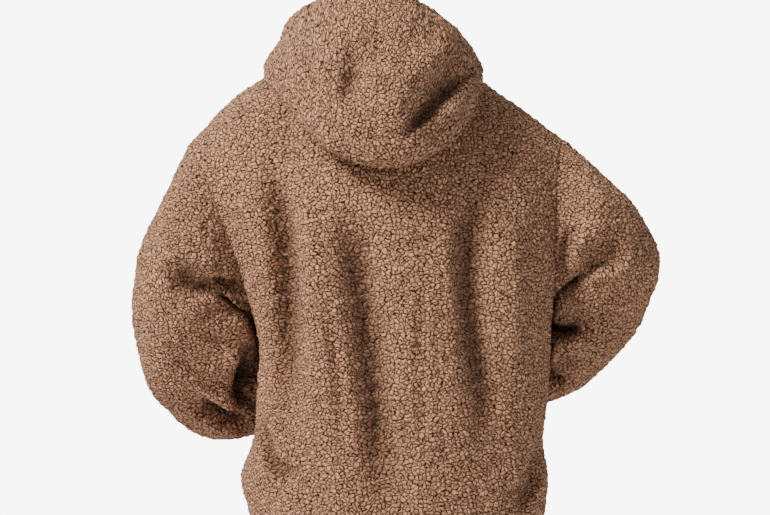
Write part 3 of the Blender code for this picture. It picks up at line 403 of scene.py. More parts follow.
def soften(field, tube):
    """A field of vectors, averaged with its neighbours along both directions of its grid."""
    if tube:
        around = np.concatenate([field[:, -2:-1], field, field[:, 1:2]], axis=1)
    else:
        around = np.concatenate([field[:, :1], field, field[:, -1:]], axis=1)
    field = (around[:, :-2] + 2 * around[:, 1:-1] + around[:, 2:]) / 4
    along = np.concatenate([field[:1], field, field[-1:]])
    return (along[:-2] + 2 * along[1:-1] + along[2:]) / 4


# ------------------------------------------------------------------ folds on a surface
def fold_heights(points, normal, rows, piece):
    """Sum of the heights of a piece's folds at each point, above the surface or below it."""
    height = np.zeros(points.shape[:-1])
    place = np.linspace(0, 1, FOLD_STEPS)
    for fold in (dict(zip(FOLD_COLUMNS, row)) for row in rows if row[0] == piece):
        line = curve(place, (0.0, 0.5, 1.0), [(fold["x" + k], fold["z" + k]) for k in "123"])
        gap = np.linalg.norm(points[..., None, ::2] - line, axis=-1)
        near = gap.argmin(axis=-1)
        d = gap.min(axis=-1) / fold["width"]
        shape = np.exp(-d * d)
        if fold["depth"] < 0:
            shape = shape - FLANK * np.exp(-((d - FLANK_AT) / FLANK_WIDTH) ** 2)
        fade = smooth(np.minimum(place, 1 - place)[near] / FOLD_FADE)
        facing = np.clip(normal[..., 1] * fold["side"] * FOLD_TURN, 0, 1)
        height += fold["depth"] * shape * fade * facing
    return height


def relief(grid, piece):
    """Moves a grid's points along its normals, into troughs and onto ridges, and out by its bulges."""
    normal = normals(grid)
    grid = grid + normal * fold_heights(grid, normal, FOLDS, piece)[..., None]
    for bulge in (dict(zip(BULGE_COLUMNS, row)) for row in BULGES if row[0] == piece):
        centre, radii, push = (vectors(bulge, stem) for stem in ("", "r", "d"))
        weight = np.exp(-(((grid - centre) / radii) ** 2).sum(axis=-1))
        grid = grid + weight[..., None] * push
    return grid


# ------------------------------------------------------------------ the garment's surfaces
def surfaces():
    """Outer surfaces of the body's back and front, the sleeves and the hood, as grids with normals out.

    The back runs from the left side seam to the right one, and the front the other way. A tube's last
    column repeats its first one. Neighbours share the points of their seams.
    """
    back = relief(panel(BACK_TOP, 1), "body")
    front = relief(panel(FRONT_TOP, -1)[:, ::-1], "body")
    join_seams(back, front)
    bodies = ((back, body_normals(back)), (front, body_normals(front)))
    sleeves = {}
    for name, side, rings, way in (("left", 0, SLEEVE_LEFT, 1), ("right", -1, SLEEVE_RIGHT, -1)):
        hole = np.concatenate([back[:UPPER_ROWS + 1, side], front[UPPER_ROWS - 1::-1, -1 - side]])
        tube = relief_sleeve(sleeve_tube(hole, rings, SLEEVE_ROWS)[:, ::way], name)
        sleeves[name] = rest_on(tube, bodies, SLEEVE_REST, SLEEVE_HELD, True)
    first, last = NECK_COLUMN, 2 * PANEL_COLUMNS - NECK_COLUMN
    front_edge = front[0, ::-1]
    neckline = np.concatenate([front_edge[first:PANEL_COLUMNS + 1][::-1][:-1], back[0, first:last + 1],
                               front_edge[PANEL_COLUMNS:last + 1][::-1][1:]])
    hood, pouch = hood_bag(neckline, neckline.mean(axis=0), 2 * HOOD_COLUMNS, HOOD_ROWS)
    hood, pouch = hood[:, ::-1], pouch[::-1]
    hood = even_rows(rest_on(hood, bodies, HOOD_REST, HOOD_HELD))
    hood = rest_on(hood, bodies, HOOD_REST, HOOD_HELD, share=pouch[:, None])
    hood[1:-1, 1:-1] = soften(hood, False)[1:-1, 1:-1]
    outside = np.clip((np.linspace(0, 1, len(hood)) - HOOD_INSIDE) / HOOD_TURN, 0, 1)[:, None, None]
    hood = hood + (relief(hood, "hood") - hood) * outside
    return back, front, sleeves["left"], sleeves["right"], hood


def join_seams(back, front):
    """Gives the back and the front the same points along the side seams and the shoulder seams."""
    mirror = front[:, ::-1]
    last = 2 * PANEL_COLUMNS
    for row in range(UPPER_ROWS, len(back)):
        for column in (0, last):
            back[row, column] = mirror[row, column] = (back[row, column] + mirror[row, column]) / 2
    for column in list(range(NECK_COLUMN + 1)) + list(range(last - NECK_COLUMN, last + 1)):
        middle = (back[0, column] + mirror[0, column]) / 2
        for grid in (back, mirror):
            step = middle - grid[0, column]
            for row in range(SEAM_EASE):
                grid[row, column] += step * (1 - row / SEAM_EASE)


def body_normals(grid):
    """Normals of a body panel, with those of its shoulder edge turned up, midway to the other panel's."""
    out = normals(grid)
    out[0, :, 1] = 0
    out[0] = unit(out[0])
    out[UPPER_ROWS:, (0, -1), 1] = 0
    return unit(out)


def relief_sleeve(grid, piece):
    """Folds on a sleeve, which leave its first rings where the armhole is."""
    hold = np.clip(np.arange(len(grid)) / SLEEVE_TURN, 0, 1)[:, None, None]
    return grid + (relief(grid, piece) - grid) * hold


# ------------------------------------------------------------------ seams
def share_normals(normal_sets, places):
    """Gives the points that meet at a seam one common direction through the cloth."""
    for group in places:
        mean = unit(sum(normal_sets[name][index] for name, index in group))
        for name, index in group:
            normal_sets[name][index] = mean


def edge_first(grid, edge):
    """A view of a grid that has an edge of it as its first row."""
    if edge == "top":
        return grid
    return grid.swapaxes(0, 1)[::-1 if edge == "right" else 1]


def draw_in(grid, normal, edge, amount):
    """Moves an edge of a grid in, along the surface and square to the edge."""
    points, through = edge_first(grid, edge), edge_first(normal, edge)
    line = unit(np.gradient(points[0], axis=0))
    inward = points[1] - points[0]
    inward -= line * (inward * line).sum(-1, keepdims=True)
    inward -= through[0] * (inward * through[0]).sum(-1, keepdims=True)
    points[0] += unit(inward) * amount


def cloth_pieces():
    """Each cloth piece's outer grid, and the direction through its wall."""
    back, front, left, right, hood = surfaces()
    half = PANEL_COLUMNS
    grids, facing = {"back": back}, {"back": normals(back)}

    def halve(name, whole, middle):
        for side, part in (("_right", slice(None, middle + 1)), ("_left", slice(middle, None))):
            grids[name + side], facing[name + side] = whole[:, part].copy(), normals(whole)[:, part].copy()

    halve("front", front, half)
    for name, grid in (("sleeve_left", left), ("sleeve_right", right)):
        grids[name], facing[name] = grid, unit(grid - grid[:, :-1].mean(axis=1, keepdims=True))
    halve("hood", hood, HOOD_COLUMNS)
    rows, last, around = UPPER_ROWS, 2 * half, 2 * UPPER_ROWS
    groups = []
    for row in range(rows, rows + LOWER_ROWS + 1):
        extra_left = [("sleeve_left", (0, rows))] if row == rows else []
        extra_right = [("sleeve_right", (0, rows))] if row == rows else []
        groups.append([("back", (row, 0)), ("front_left", (row, half))] + extra_left)
        groups.append([("back", (row, last)), ("front_right", (row, 0))] + extra_right)
    for row in range(1, rows):
        groups.append([("back", (row, 0)), ("sleeve_left", (0, row))])
        groups.append([("front_left", (row, half)), ("sleeve_left", (0, around - row))])
        groups.append([("back", (row, last)), ("sleeve_right", (0, around - row))])
        groups.append([("front_right", (row, 0)), ("sleeve_right", (0, row))])
    for column in range(1, NECK_COLUMN + 1):
        groups.append([("back", (0, column)), ("front_left", (0, half - column))])
        groups.append([("back", (0, last - column)), ("front_right", (0, column))])
    groups.append([("back", (0, 0)), ("front_left", (0, half)), ("sleeve_left", (0, 0)),
                   ("sleeve_left", (0, around))])
    groups.append([("back", (0, last)), ("front_right", (0, 0)), ("sleeve_right", (0, 0)),
                   ("sleeve_right", (0, around))])
    share_normals(facing, groups)
    share_neckline(facing)
    for name, edges in SEAM_EDGES.items():
        for edge in edges:
            if not (name.startswith("hood") and edge == "top"):
                draw_in(grids[name], facing[name], edge, SEAM / 2)
    for name in ("hood_left", "hood_right"):
        draw_in(grids[name], facing[name], "top", HOOD_EASE)
    for name, edge in OPEN_EDGES.items():
        draw_in(grids[name], facing[name], edge, ZIP_GAP)
    return grids, facing


def share_neckline(facing):
    """The walls of the body and the hood meet at the neckline, midway between their directions."""
    half, first = PANEL_COLUMNS, NECK_COLUMN
    last = 2 * half - first
    left, back, right = facing["front_left"], facing["back"], facing["front_right"]
    ring = np.concatenate([left[0, :half - first], back[0, first:last + 1], right[0, first + 1:half + 1]])
    hood = np.concatenate([facing["hood_right"][0], facing["hood_left"][0, 1:]])[::-1]
    step = 2 * HOOD_COLUMNS // (len(ring) - 1)
    ring = ring + hood[::step]
    ring[(0, -1), 0] = 0
    ring = unit(ring)
    for _ in range(NECK_SOFTEN):
        ring[1:-1] = unit(ring[:-2] + 2 * ring[1:-1] + ring[2:])
    at = np.linspace(0, len(ring) - 1, len(hood))
    read = read_line(at, np.arange(len(ring)), ring)[::-1]
    facing["hood_right"][0], facing["hood_left"][0] = read[:HOOD_COLUMNS + 1], read[HOOD_COLUMNS:]
    back[0, first:last + 1] = ring[half - first:half - first + last - first + 1]
    left[0, :half - first + 1] = ring[:half - first + 1]
    right[0, first:half + 1] = ring[-(half - first + 1):]


# ------------------------------------------------------------------ looks: driving sizes
FINE_STEP = {"back": 0.00235, "front_left": 0.0022, "front_right": 0.0022, "sleeve_left": 0.0019,
             "sleeve_right": 0.0018, "hood_left": 0.0016, "hood_right": 0.0016}
EASE_TURNS = (1500, 40)  # rounds of easing a flattened piece, and one that turns back on itself
EASE_PART = 8            # a round moves the two ends of a link by its error divided by this
INNER_RATIO = 3          # outer steps to one step of the inside
SEAM_EDGES = {"back": ("top", "left", "right"), "front_left": ("top", "right"),
              "front_right": ("top", "left"), "sleeve_left": ("top",), "sleeve_right": ("top",),
              "hood_left": ("top", "left"), "hood_right": ("top", "right")}
OPEN_EDGES = {"front_left": "left", "front_right": "right", "hood_left": "right", "hood_right": "left"}
CLUMP_CELL = 0.0086      # size of a clump of curls
PILE_HEIGHT = 0.0044
PILE_SINK = 0.0029       # depth of the hollows between clumps under the solid's face
PILE_WARP = 0.0026
PILE_WARP_SIZE = 0.0075
CELL_MARGIN = 0.1        # share of a cell beside each side in which no clump has its centre
CLUMP_CRACK = 0.40       # reach of the cracks into a clump, in cells
CLUMP_EDGE = 0.45        # height of a clump at its crack, as a share
CLUMP_LOW = 0.60         # height of the lowest clump, as a share of the highest one's
LOCK_HEIGHT = 0.20       # small locks over the clumps, as a share of the pile
LOCK_SIZE = 0.0046
CURLS = 158.0            # curls to a metre, in the material
SMALL_CURLS = CURLS * 1.75
CURL_STRETCH = (0.92, 1.12, 1.0)
WAVES = ((0.045, 0.0024, 11), (0.021, 0.0011, 12))   # the cloth's unevenness: size, height, seed
WAVE_STRETCH = 0.32      # by which it is drawn out downwards on the body
SEAM_LAP = 0.0005        # by which the shells' edges pass the solids' at a seam, so that no light shows
SEAM_SINK = 0.0022
SEAM_FADE = 0.0050
SEAM_EASING = 0.020      # from a seam to where creases and unevenness have their full height
PILE_AT_SEAM = 0.35      # height of the pile at a seam, as a share
EDGE_ROUND = 0.0042      # radius of a turned edge
INNER_ROUND = 0.8        # rounding of its inner side, as a share of the outer side's
STITCH_FROM_HEM = 0.024
STITCH_WIDTH = 0.0035
STITCH_DEPTH = 0.0026
TROUGH_SHADE_DEPTH = 0.040     # depth of a trough at which its painted shade is darkest

PHOTO_WIDTH = 770
PIXEL = 0.00155          # metres per pixel of the photograph, at the body's middle
CAMERA_AWAY = 3.2
CAMERA_LEVEL = -0.2821
SENSOR = 36.0
FLOOR_LEVEL = -1.45      # under the feet of whoever wears it
FLOOR_REACH = 4.3        # the floor ends before it would show in the photograph's frame
WORLD_DIM = 0.44
WORLD_WHITE = 8.0
WORLD_PATCH = (-0.92, -0.97)  # y of the directions between which the world turns white behind the jacket
FLOOR_COLOUR = (0.92, 0.92, 0.92, 1.0)
LIGHTS_AIM = (0, 0, -0.3)
LIGHTS = {                # place, size, power and colour
    "key": ((2.4, 1.7, 2.3), 1.0, 322.0, (1.0, 0.98, 0.95)),
    "fill": ((-2.4, 2.6, 0.3), 2.0, 20.0, (0.97, 0.98, 1.0)),
    "front": ((-1.4, -2.6, 1.6), 1.4, 36.0, (1.0, 0.99, 0.97)),
}

# Linear colours. The two darkest pile colours are painted shade in the cracks between curls, and the hollow
# colours are painted shade in the troughs of folds and creases.
PILE_CRACK_SHADE = (0.010, 0.003, 0.001)
PILE_CRACK_HALF_SHADE = (0.094, 0.030, 0.012)
PILE_MID = (0.430, 0.208, 0.116)
PILE_TIP = (0.720, 0.395, 0.242)
TROUGH_SHADE_DARK = (0.14, 0.11, 0.09)
HOLLOW_SHADE = (0.52, 0.49, 0.46)
GROUND_LIGHT = (0.215, 0.120, 0.080)
GROUND_DARK = (0.110, 0.058, 0.038)
TAPE_DARK = (0.060, 0.030, 0.020)
TAPE_LIGHT = (0.130, 0.068, 0.045)
METAL_DARK = (0.085, 0.058, 0.030)
METAL_LIGHT = (0.260, 0.190, 0.105)
PATCH_DARK = (0.94, 0.93, 0.92)
PATCH_LIGHT = (1.04, 1.04, 1.04)
SHEEN_TINT = (1.0, 0.70, 0.50, 1.0)

# Finer creases than the solids have, in the columns of FOLDS.
CREASES = (
    ("hood", 1, -0.010, 0.0065, -0.150, 0.016, -0.080, -0.046, -0.016, -0.116),
    ("hood", 1, -0.007, 0.0090, -0.140, -0.048, -0.103, -0.080, -0.060, -0.116),
    ("hood", 1, -0.005, 0.0090, 0.070, 0.060, 0.046, 0.000, 0.062, -0.062),
    ("hood", 1, -0.004, 0.0080, 0.120, 0.036, 0.112, -0.010, 0.090, -0.048),
    ("body", 1, -0.008, 0.0140, 0.176, -0.120, 0.148, -0.286, 0.150, -0.500),
    ("body", 1, -0.010, 0.0150, 0.056, -0.200, 0.026, -0.410, -0.006, -0.700),
    ("body", 1, -0.009, 0.0150, -0.138, -0.160, -0.124, -0.320, -0.164, -0.610),
    ("body", 1, 0.004, 0.0120, 0.128, -0.150, 0.112, -0.330, 0.106, -0.600),
    ("body", 1, -0.004, 0.0080, 0.100, -0.320, 0.070, -0.460, 0.064, -0.620),
    ("body", 1, -0.004, 0.0080, -0.060, -0.300, -0.052, -0.440, -0.070, -0.640),
    ("body", 1, -0.007, 0.0080, 0.192, -0.510, 0.167, -0.588, 0.130, -0.606),
    ("body", 1, -0.007, 0.0080, -0.232, -0.600, -0.218, -0.633, -0.196, -0.668),
    ("left", 1, -0.011, 0.0090, 0.300, -0.336, 0.250, -0.322, 0.200, -0.312),
    ("left", 1, -0.030, 0.0095, 0.262, -0.326, 0.223, -0.332, 0.180, -0.336),
    ("left", 1, -0.017, 0.0105, 0.296, -0.504, 0.252, -0.530, 0.214, -0.540),
    ("left", 1, -0.036, 0.0150, 0.192, -0.410, 0.216, -0.474, 0.212, -0.530),
    ("left", 1, -0.006, 0.0100, 0.290, -0.390, 0.230, -0.417, 0.190, -0.426),
    ("left", 1, -0.005, 0.0090, 0.330, -0.420, 0.290, -0.462, 0.240, -0.480),
    ("right", 1, -0.020, 0.0080, -0.232, -0.368, -0.266, -0.396, -0.304, -0.388),
    ("right", 1, -0.014, 0.0080, -0.236, -0.440, -0.260, -0.468, -0.290, -0.482),
    ("right", 1, -0.013, 0.0095, -0.286, -0.226, -0.268, -0.279, -0.246, -0.330),
    ("right", 1, -0.007, 0.0090, -0.284, -0.306, -0.316, -0.296, -0.372, -0.290),
)
# Depth and width of a finer crease in each fold of the front, in the order of FOLDS.
FRONT_CREASES = (
    (-0.006, 0.0120), (-0.005, 0.0120), (-0.006, 0.0120), (-0.005, 0.0120),
    (-0.008, 0.0100), (-0.006, 0.0090), (-0.008, 0.0100), (-0.006, 0.0090),
)
FRONT_FOLDS = [row for row in FOLDS if row[1] < 0]
CREASES += tuple((*row[:2], *size, *row[4:]) for row, size in zip(FRONT_FOLDS, FRONT_CREASES))
FOLD_PIECE = {"back": "body", "front_left": "body", "front_right": "body", "sleeve_left": "left",
              "sleeve_right": "right", "hood_left": "hood", "hood_right": "hood"}


# ------------------------------------------------------------------ finer grids
def even_places(grid, axis, step):
    """Places along an axis of a grid, a step apart on average, as many as the inner grid can share."""
    lengths = np.linalg.norm(np.diff(grid, axis=axis), axis=-1).mean(axis=1 - axis)
    total = np.concatenate([[0], np.cumsum(lengths)])
    count = max(1, round(total[-1] / step / INNER_RATIO)) * INNER_RATIO
    return np.interp(np.linspace(0, total[-1], count + 1), total, np.arange(len(total)))


def finer(grid, rows, columns, tube):
    """A grid read smoothly at the given rows and columns. A tube's last column repeats its first one."""
    grid = curve(rows, np.arange(len(grid)), grid)
    pad = 0
    if tube:
        pad = 2
        grid = np.concatenate([grid[:, -1 - pad:-1], grid, grid[:, 1:1 + pad]], axis=1)
    wide = curve(columns + pad, np.arange(grid.shape[1]), grid.swapaxes(0, 1))
    return wide.swapaxes(0, 1)


def edge_distances(grid):
    """Distance of each point of a grid to each of its four edges."""
    down, across = arc_lengths(grid, 0), arc_lengths(grid, 1)
    return {"top": down, "bottom": down[-1:] - down, "left": across, "right": across[:, -1:] - across}


def flattened(grid, doubled):
    """Places of a grid's points on the flat cloth, in metres: its cells eased towards their true sizes.

    doubled: whether the piece turns back on itself, as a hood does, so that long easing would fold it over.
    """
    across, down = arc_lengths(grid, 1), arc_lengths(grid, 0)
    if not doubled:
        down = np.broadcast_to(down.mean(axis=1, keepdims=True), down.shape)
    flat = np.stack([across - across[:, -1:] / 2, -down], axis=-1)
    here, there = slice(None, -1), slice(1, None)
    links = (((here, slice(None)), (there, slice(None))), ((slice(None), here), (slice(None), there)),
             ((here, here), (there, there)), ((here, there), (there, here)))
    lengths = [np.linalg.norm(grid[b] - grid[a], axis=-1, keepdims=True) for a, b in links]
    for _ in range(EASE_TURNS[doubled]):
        move = np.zeros_like(flat)
        for (a, b), length in zip(links, lengths):
            gap = flat[b] - flat[a]
            size = np.maximum(np.linalg.norm(gap, axis=-1, keepdims=True), 1e-6)
            part = gap * (1 - length / size) / EASE_PART
            move[a] += part
            move[b] -= part
        flat = flat + move
    return flat


# ------------------------------------------------------------------ noise
def hashed(cells, seed):
    """Three even random numbers for each cell of a lattice."""
    x, y, z = (cells[..., k].astype(np.int64) for k in range(3))
    out = []
    for k in range(3):
        h = (x * 73856093) ^ (y * 19349663) ^ (z * 83492791) ^ ((seed * 3 + k + 1) * 2654435761)
        for shift, factor in ((15, 2246822519), (13, 3266489917)):
            h = ((h ^ (h >> shift)) & 0xFFFFFFFF) * factor & 0xFFFFFFFF
        h = h ^ (h >> 16)
        out.append((h & 0xFFFFFF) / float(0x1000000))
    return np.stack(out, axis=-1)


def soft_noise(points, size, seed):
    """Smooth noise from -1 to 1, three channels, with features of a size."""
    p = points / size
    base = np.floor(p)
    f = smooth(p - base)
    total = 0
    for corner in np.ndindex(2, 2, 2):
        weight = np.prod(np.where(np.array(corner) == 1, f, 1 - f), axis=-1)[..., None]
        total = total + weight * hashed(base + corner, seed)
    return total * 2 - 1


def curls(points, size, seed):
    """Cell pattern: distances to the nearest and the next centre, in cells, and a random number."""
    p = points / size
    base = np.floor(p)
    first = np.full(p.shape[:-1], 9.0)
    second = first.copy()
    pick = np.zeros_like(first)
    for corner in np.ndindex(3, 3, 3):
        cell = base + (np.array(corner) - 1)
        centre = cell + CELL_MARGIN + (1 - 2 * CELL_MARGIN) * hashed(cell, seed)
        d = np.linalg.norm(centre - p, axis=-1)
        nearer = d < first
        second = np.where(nearer, first, np.minimum(second, d))
        pick = np.where(nearer, hashed(cell, seed + 17)[..., 0], pick)
        first = np.where(nearer, d, first)
    return first, second, pick


def pile(points):
    """Height of the pile, 0 in the hollows and 1 at the highest tips, and each clump's random number."""
    warped = points + PILE_WARP * soft_noise(points, PILE_WARP_SIZE, 3)
    first, second, pick = curls(warped, CLUMP_CELL, 5)
    dome = np.sqrt(np.clip(1 - first ** 2, 0, 1))
    crack = np.clip((second - first) / CLUMP_CRACK, 0, 1)
    height = dome * (CLUMP_EDGE + (1 - CLUMP_EDGE) * crack * (2 - crack))
    height = height * (CLUMP_LOW + (1 - CLUMP_LOW) * pick)
    height = height + LOCK_HEIGHT * soft_noise(points, LOCK_SIZE, 7)[..., 0]
    return np.clip(height, 0, 1), pick


# ------------------------------------------------------------------ cloth shells
def wave(points, piece):
    """Slow unevenness of the cloth, drawn out downwards on the body."""
    stretch = np.array((1.0, 1.0, WAVE_STRETCH if FOLD_PIECE[piece] == "body" else 1.0))
    return sum(height * soft_noise(points * stretch, size, seed)[..., 0] for size, height, seed in WAVES)


def lap_seams(base, seams):
    """Moves a fine grid's sewn edges a little past the solid's."""
    for seam in seams:
        points = edge_first(base, seam)
        points[0] -= unit(points[1] - points[0]) * SEAM_LAP


def shell(name, grid, facing):
    """Mesh of one cloth piece: the outer side with its pile, the inner side, and the turned edges."""
    tube = name.startswith("sleeve")
    rows, columns = (even_places(grid, axis, FINE_STEP[name]) for axis in (0, 1))
    base = finer(grid, rows, columns, tube)
    through = unit(finer(facing, rows, columns, tube))
    flat = finer(flattened(grid, name.startswith("hood")), rows, columns, False)
    if tube:
        base[:, -1], through[:, -1] = base[:, 0], through[:, 0]
    edges = edge_distances(base)
    seams = SEAM_EDGES[name]
    free = [edge for edge in edges if edge not in seams and not (tube and edge in ("left", "right"))]
    near_seam, near_free = (np.minimum.reduce([edges[edge] for edge in some]) for some in (seams, free))
    lap_seams(base, seams)
    ease = smooth(near_seam / SEAM_EASING)
    plain = normals(base)
    creases, folds = (fold_heights(base, plain, kind, FOLD_PIECE[name]) for kind in (CREASES, FOLDS))
    # share of a trough's full depth at each point, which sets the painted shade in the troughs
    trough_shade = np.clip(-(creases + folds) / TROUGH_SHADE_DEPTH, 0, 1)
    base = base + through * ((wave(base, name) + creases) * ease)[..., None]
    out = normals(base)
    if tube:
        out[:, 0] = out[:, -1] = unit(out[:, 0] + out[:, -1])
    out = unit(out * ease[..., None] + through * (1 - ease[..., None]))
    height, pick = pile(base)
    if tube:
        height[:, -1], pick[:, -1] = height[:, 0], pick[:, 0]
    fade = np.clip(near_seam / SEAM_FADE, 0, 1)
    fade = fade * (2 - fade)
    lift = (height * PILE_HEIGHT - PILE_SINK) * (PILE_AT_SEAM + (1 - PILE_AT_SEAM) * fade)
    lift = lift - SEAM_SINK * (1 - fade)
    lift = lift - STITCH_DEPTH * np.exp(-((near_free - STITCH_FROM_HEM) / STITCH_WIDTH) ** 2)
    short = np.clip(1 - near_free / EDGE_ROUND, 0, 1)
    rounding = EDGE_ROUND * (1 - np.sqrt(np.clip(1 - short * short, 0, 1)))
    outer = base + out * lift[..., None] - through * rounding[..., None]
    inner = base - through * (CLOTH - rounding * INNER_ROUND)[..., None]
    inner = inner[::INNER_RATIO, ::INNER_RATIO]
    if tube:
        trough_shade[:, -1] = trough_shade[:, 0]
    return shell_mesh(name, outer, inner, {"pile": height, "clump": pick, "trough_shade": trough_shade}, flat, tube)


def grid_faces(index):
    corners = (index[:-1, :-1], index[1:, :-1], index[1:, 1:], index[:-1, 1:])
    return np.stack([corner.ravel() for corner in corners], axis=1)


def rim_faces(fine, coarse):
    """Triangles between a fine edge line and a coarse one, with a point at every few of the fine one's."""
    ratio = (len(fine) - 1) // (len(coarse) - 1)
    faces = []
    for k in range(len(coarse) - 1):
        start = k * ratio
        half = ratio // 2 + 1
        faces += [(fine[start + j], fine[start + j + 1], coarse[k]) for j in range(half)]
        faces.append((fine[start + half], coarse[k + 1], coarse[k]))
        faces += [(fine[start + j], fine[start + j + 1], coarse[k + 1]) for j in range(half, ratio)]
    return faces


def add_object(name, data):
    obj = bpy.data.objects.new(name, data)
    bpy.context.scene.collection.objects.link(obj)
    return obj


def mesh_object(name, bm):
    """Object with the mesh of a bmesh, which is freed."""
    mesh = bpy.data.meshes.new(name)
    bm.to_mesh(mesh)
    bm.free()
    return add_object(name, mesh)

def shell_mesh(name, outer, inner, marks, flat, tube):
    """Closed mesh of an outer grid and a coarser inner one, whose faces have the second material.

    marks: values at the outer grid's points, by name. flat: places of the outer grid's points on the flat
    cloth, in metres. A tube's last column is its first one.
    """
    shape, inside = outer.shape[:2], inner.shape[:2]
    index = np.arange(shape[0] * shape[1]).reshape(shape)
    index_in = np.arange(inside[0] * inside[1]).reshape(inside) + index.size
    merged = np.arange(index.size + index_in.size)
    if tube:
        merged[index[:, -1]], merged[index_in[:, -1]] = index[:, 0], index_in[:, 0]
    quads = [grid_faces(index), grid_faces(index_in)[:, ::-1]]
    rims = rim_faces(index[0], index_in[0]) + [f[::-1] for f in rim_faces(index[-1], index_in[-1])]
    if not tube:
        rims += [f[::-1] for f in rim_faces(index[:, 0], index_in[:, 0])]
        rims += rim_faces(index[:, -1], index_in[:, -1])
    points = np.concatenate([outer.reshape(-1, 3), inner.reshape(-1, 3)])
    loops = np.concatenate([np.concatenate(quads).ravel(), np.array(rims).ravel()])
    ratio = (len(outer) - 1) // (len(inner) - 1)
    places = np.concatenate([flat.reshape(-1, 2), flat[::ratio, ::ratio].reshape(-1, 2)])[loops]
    loops = merged[loops]
    counts = np.concatenate([np.full(sum(map(len, quads)), 4), np.full(len(rims), 3)])
    used = np.zeros(len(points), bool)
    used[loops] = True
    renumber = np.cumsum(used) - 1
    mesh = bpy.data.meshes.new(name)
    mesh.vertices.add(int(used.sum()))
    mesh.vertices.foreach_set("co", points[used].astype(np.float32).ravel())
    mesh.loops.add(len(loops))
    mesh.loops.foreach_set("vertex_index", renumber[loops].astype(np.int32))
    mesh.polygons.add(len(counts))
    mesh.polygons.foreach_set("loop_start", (np.cumsum(counts) - counts).astype(np.int32))
    slots = np.zeros(len(counts), np.int32)
    slots[len(quads[0]):len(quads[0]) + len(quads[1])] = 1
    mesh.polygons.foreach_set("material_index", slots)
    mesh.update(calc_edges=True)
    mesh.uv_layers.new(name="flat").data.foreach_set("uv", places.astype(np.float32).ravel())
    mesh.validate()
    mesh.shade_smooth()
    spare = np.zeros(index_in.size)
    for label, values in marks.items():
        layer = mesh.attributes.new(label, "FLOAT", "POINT")
        layer.data.foreach_set("value", np.concatenate([values.ravel(), spare])[used].astype(np.float32))
    return add_object(name, mesh)


# ------------------------------------------------------------------ zip
TAPE_STEP = 0.0016       # length of a cell of a tape's mesh
TAPE_CELLS = 9
TOOTH_PITCH = 0.0029
TOOTH_LENGTH = 0.0013    # along the zip
TOOTH_REACH = (0.0004, 0.0033)   # its head and its heel, from the middle of the zip
TOOTH_LAP = 0.0006       # by which a closed zip's heads pass its middle
TOOTH_HIGH = (0.0017, 0.0011)    # height over the tape at the head and at the heel
TOOTH_CUT = 0.0003
TOOTH_SHARES = (0.55, 0.92, 1.0, 0.9, 0.5)   # its length at each section, from head to heel
TEETH_ENDS = (0.004, 0.014)      # from the tape's top to the first tooth, and from the last one to its foot
AIM_ROWS = 0.1           # rows above and below a tooth between which its direction is read


def tape_surface(grids, facing, side):
    """Face of a tape and the direction through it, as the solids have them, from its inner edge out."""
    edge, step = (0, 1) if side == "left" else (-1, -1)
    grid, out = grids["front_" + side], facing["front_" + side]
    inward = grid[:, edge + step] - grid[:, edge]
    span = np.linalg.norm(inward, axis=1)[:, None]
    inner = np.full((len(grid), 1), TAPE_PART)
    inner[:TAPE_ROWS_OPEN] = TAPE_SPLIT
    faces, through = [], []
    for k in range(TAPE_CELLS + 1):
        place = inner + (TAPE_WIDTH - inner) * k / TAPE_CELLS
        share = place / (ZIP_GAP + span)
        across = unit(out[:, edge] * (1 - share) + out[:, edge + step] * share)
        faces.append(grid[:, edge] + inward * (place - ZIP_GAP) / span - across * TAPE_SINK)
        through.append(across)
    return np.stack(faces, axis=1), np.stack(through, axis=1)


def fine_tape(side, face, through):
    """Woven tape: a thin shell between the solid tape's two faces."""
    length = arc_lengths(face, 0)[-1].mean()
    rows = np.linspace(0, len(face) - 1, round(length / TAPE_STEP) + 1)
    columns = np.arange(TAPE_CELLS + 1)
    fine, out = finer(face, rows, columns, False), unit(finer(through, rows, columns, False))
    if side == "right":
        fine, out = fine[:, ::-1], out[:, ::-1]
    flat = np.stack([arc_lengths(fine, 1), -arc_lengths(fine, 0)], axis=-1)
    return shell_mesh("zip_tape_" + side, fine, fine - out * TAPE_THICK, {}, flat, False)


def tooth(bm, middle, across, out, down, shift):
    """One tooth: a wedge clamped on the tape's edge, with a rounded head that is moved in by shift."""
    head, heel = TOOTH_REACH[0] - shift, TOOTH_REACH[1]
    places = (head, head + TOOTH_CUT, (head + heel) / 2, heel - TOOTH_CUT, heel)
    high, low = TOOTH_HIGH
    heights = (high - TOOTH_CUT, high, (high + low) / 2, low, low - TOOTH_CUT)
    half = TOOTH_LENGTH / 2
    loops = []
    for place, share, high in zip(places, TOOTH_SHARES, heights):
        cut = min(TOOTH_CUT, half * share / 2)
        corners = ((-half * share, 0.0), (-half * share, high - cut), (-half * share + cut, high),
                   (half * share - cut, high), (half * share, high - cut), (half * share, 0.0))
        loops.append([bm.verts.new(middle + across * place + down * t + out * n) for t, n in corners])
    for one, two in zip(loops, loops[1:]):
        for k in range(len(one)):
            n = (k + 1) % len(one)
            bm.faces.new((one[k], one[n], two[n], two[k]))
    bm.faces.new(loops[0][::-1])
    bm.faces.new(loops[-1])


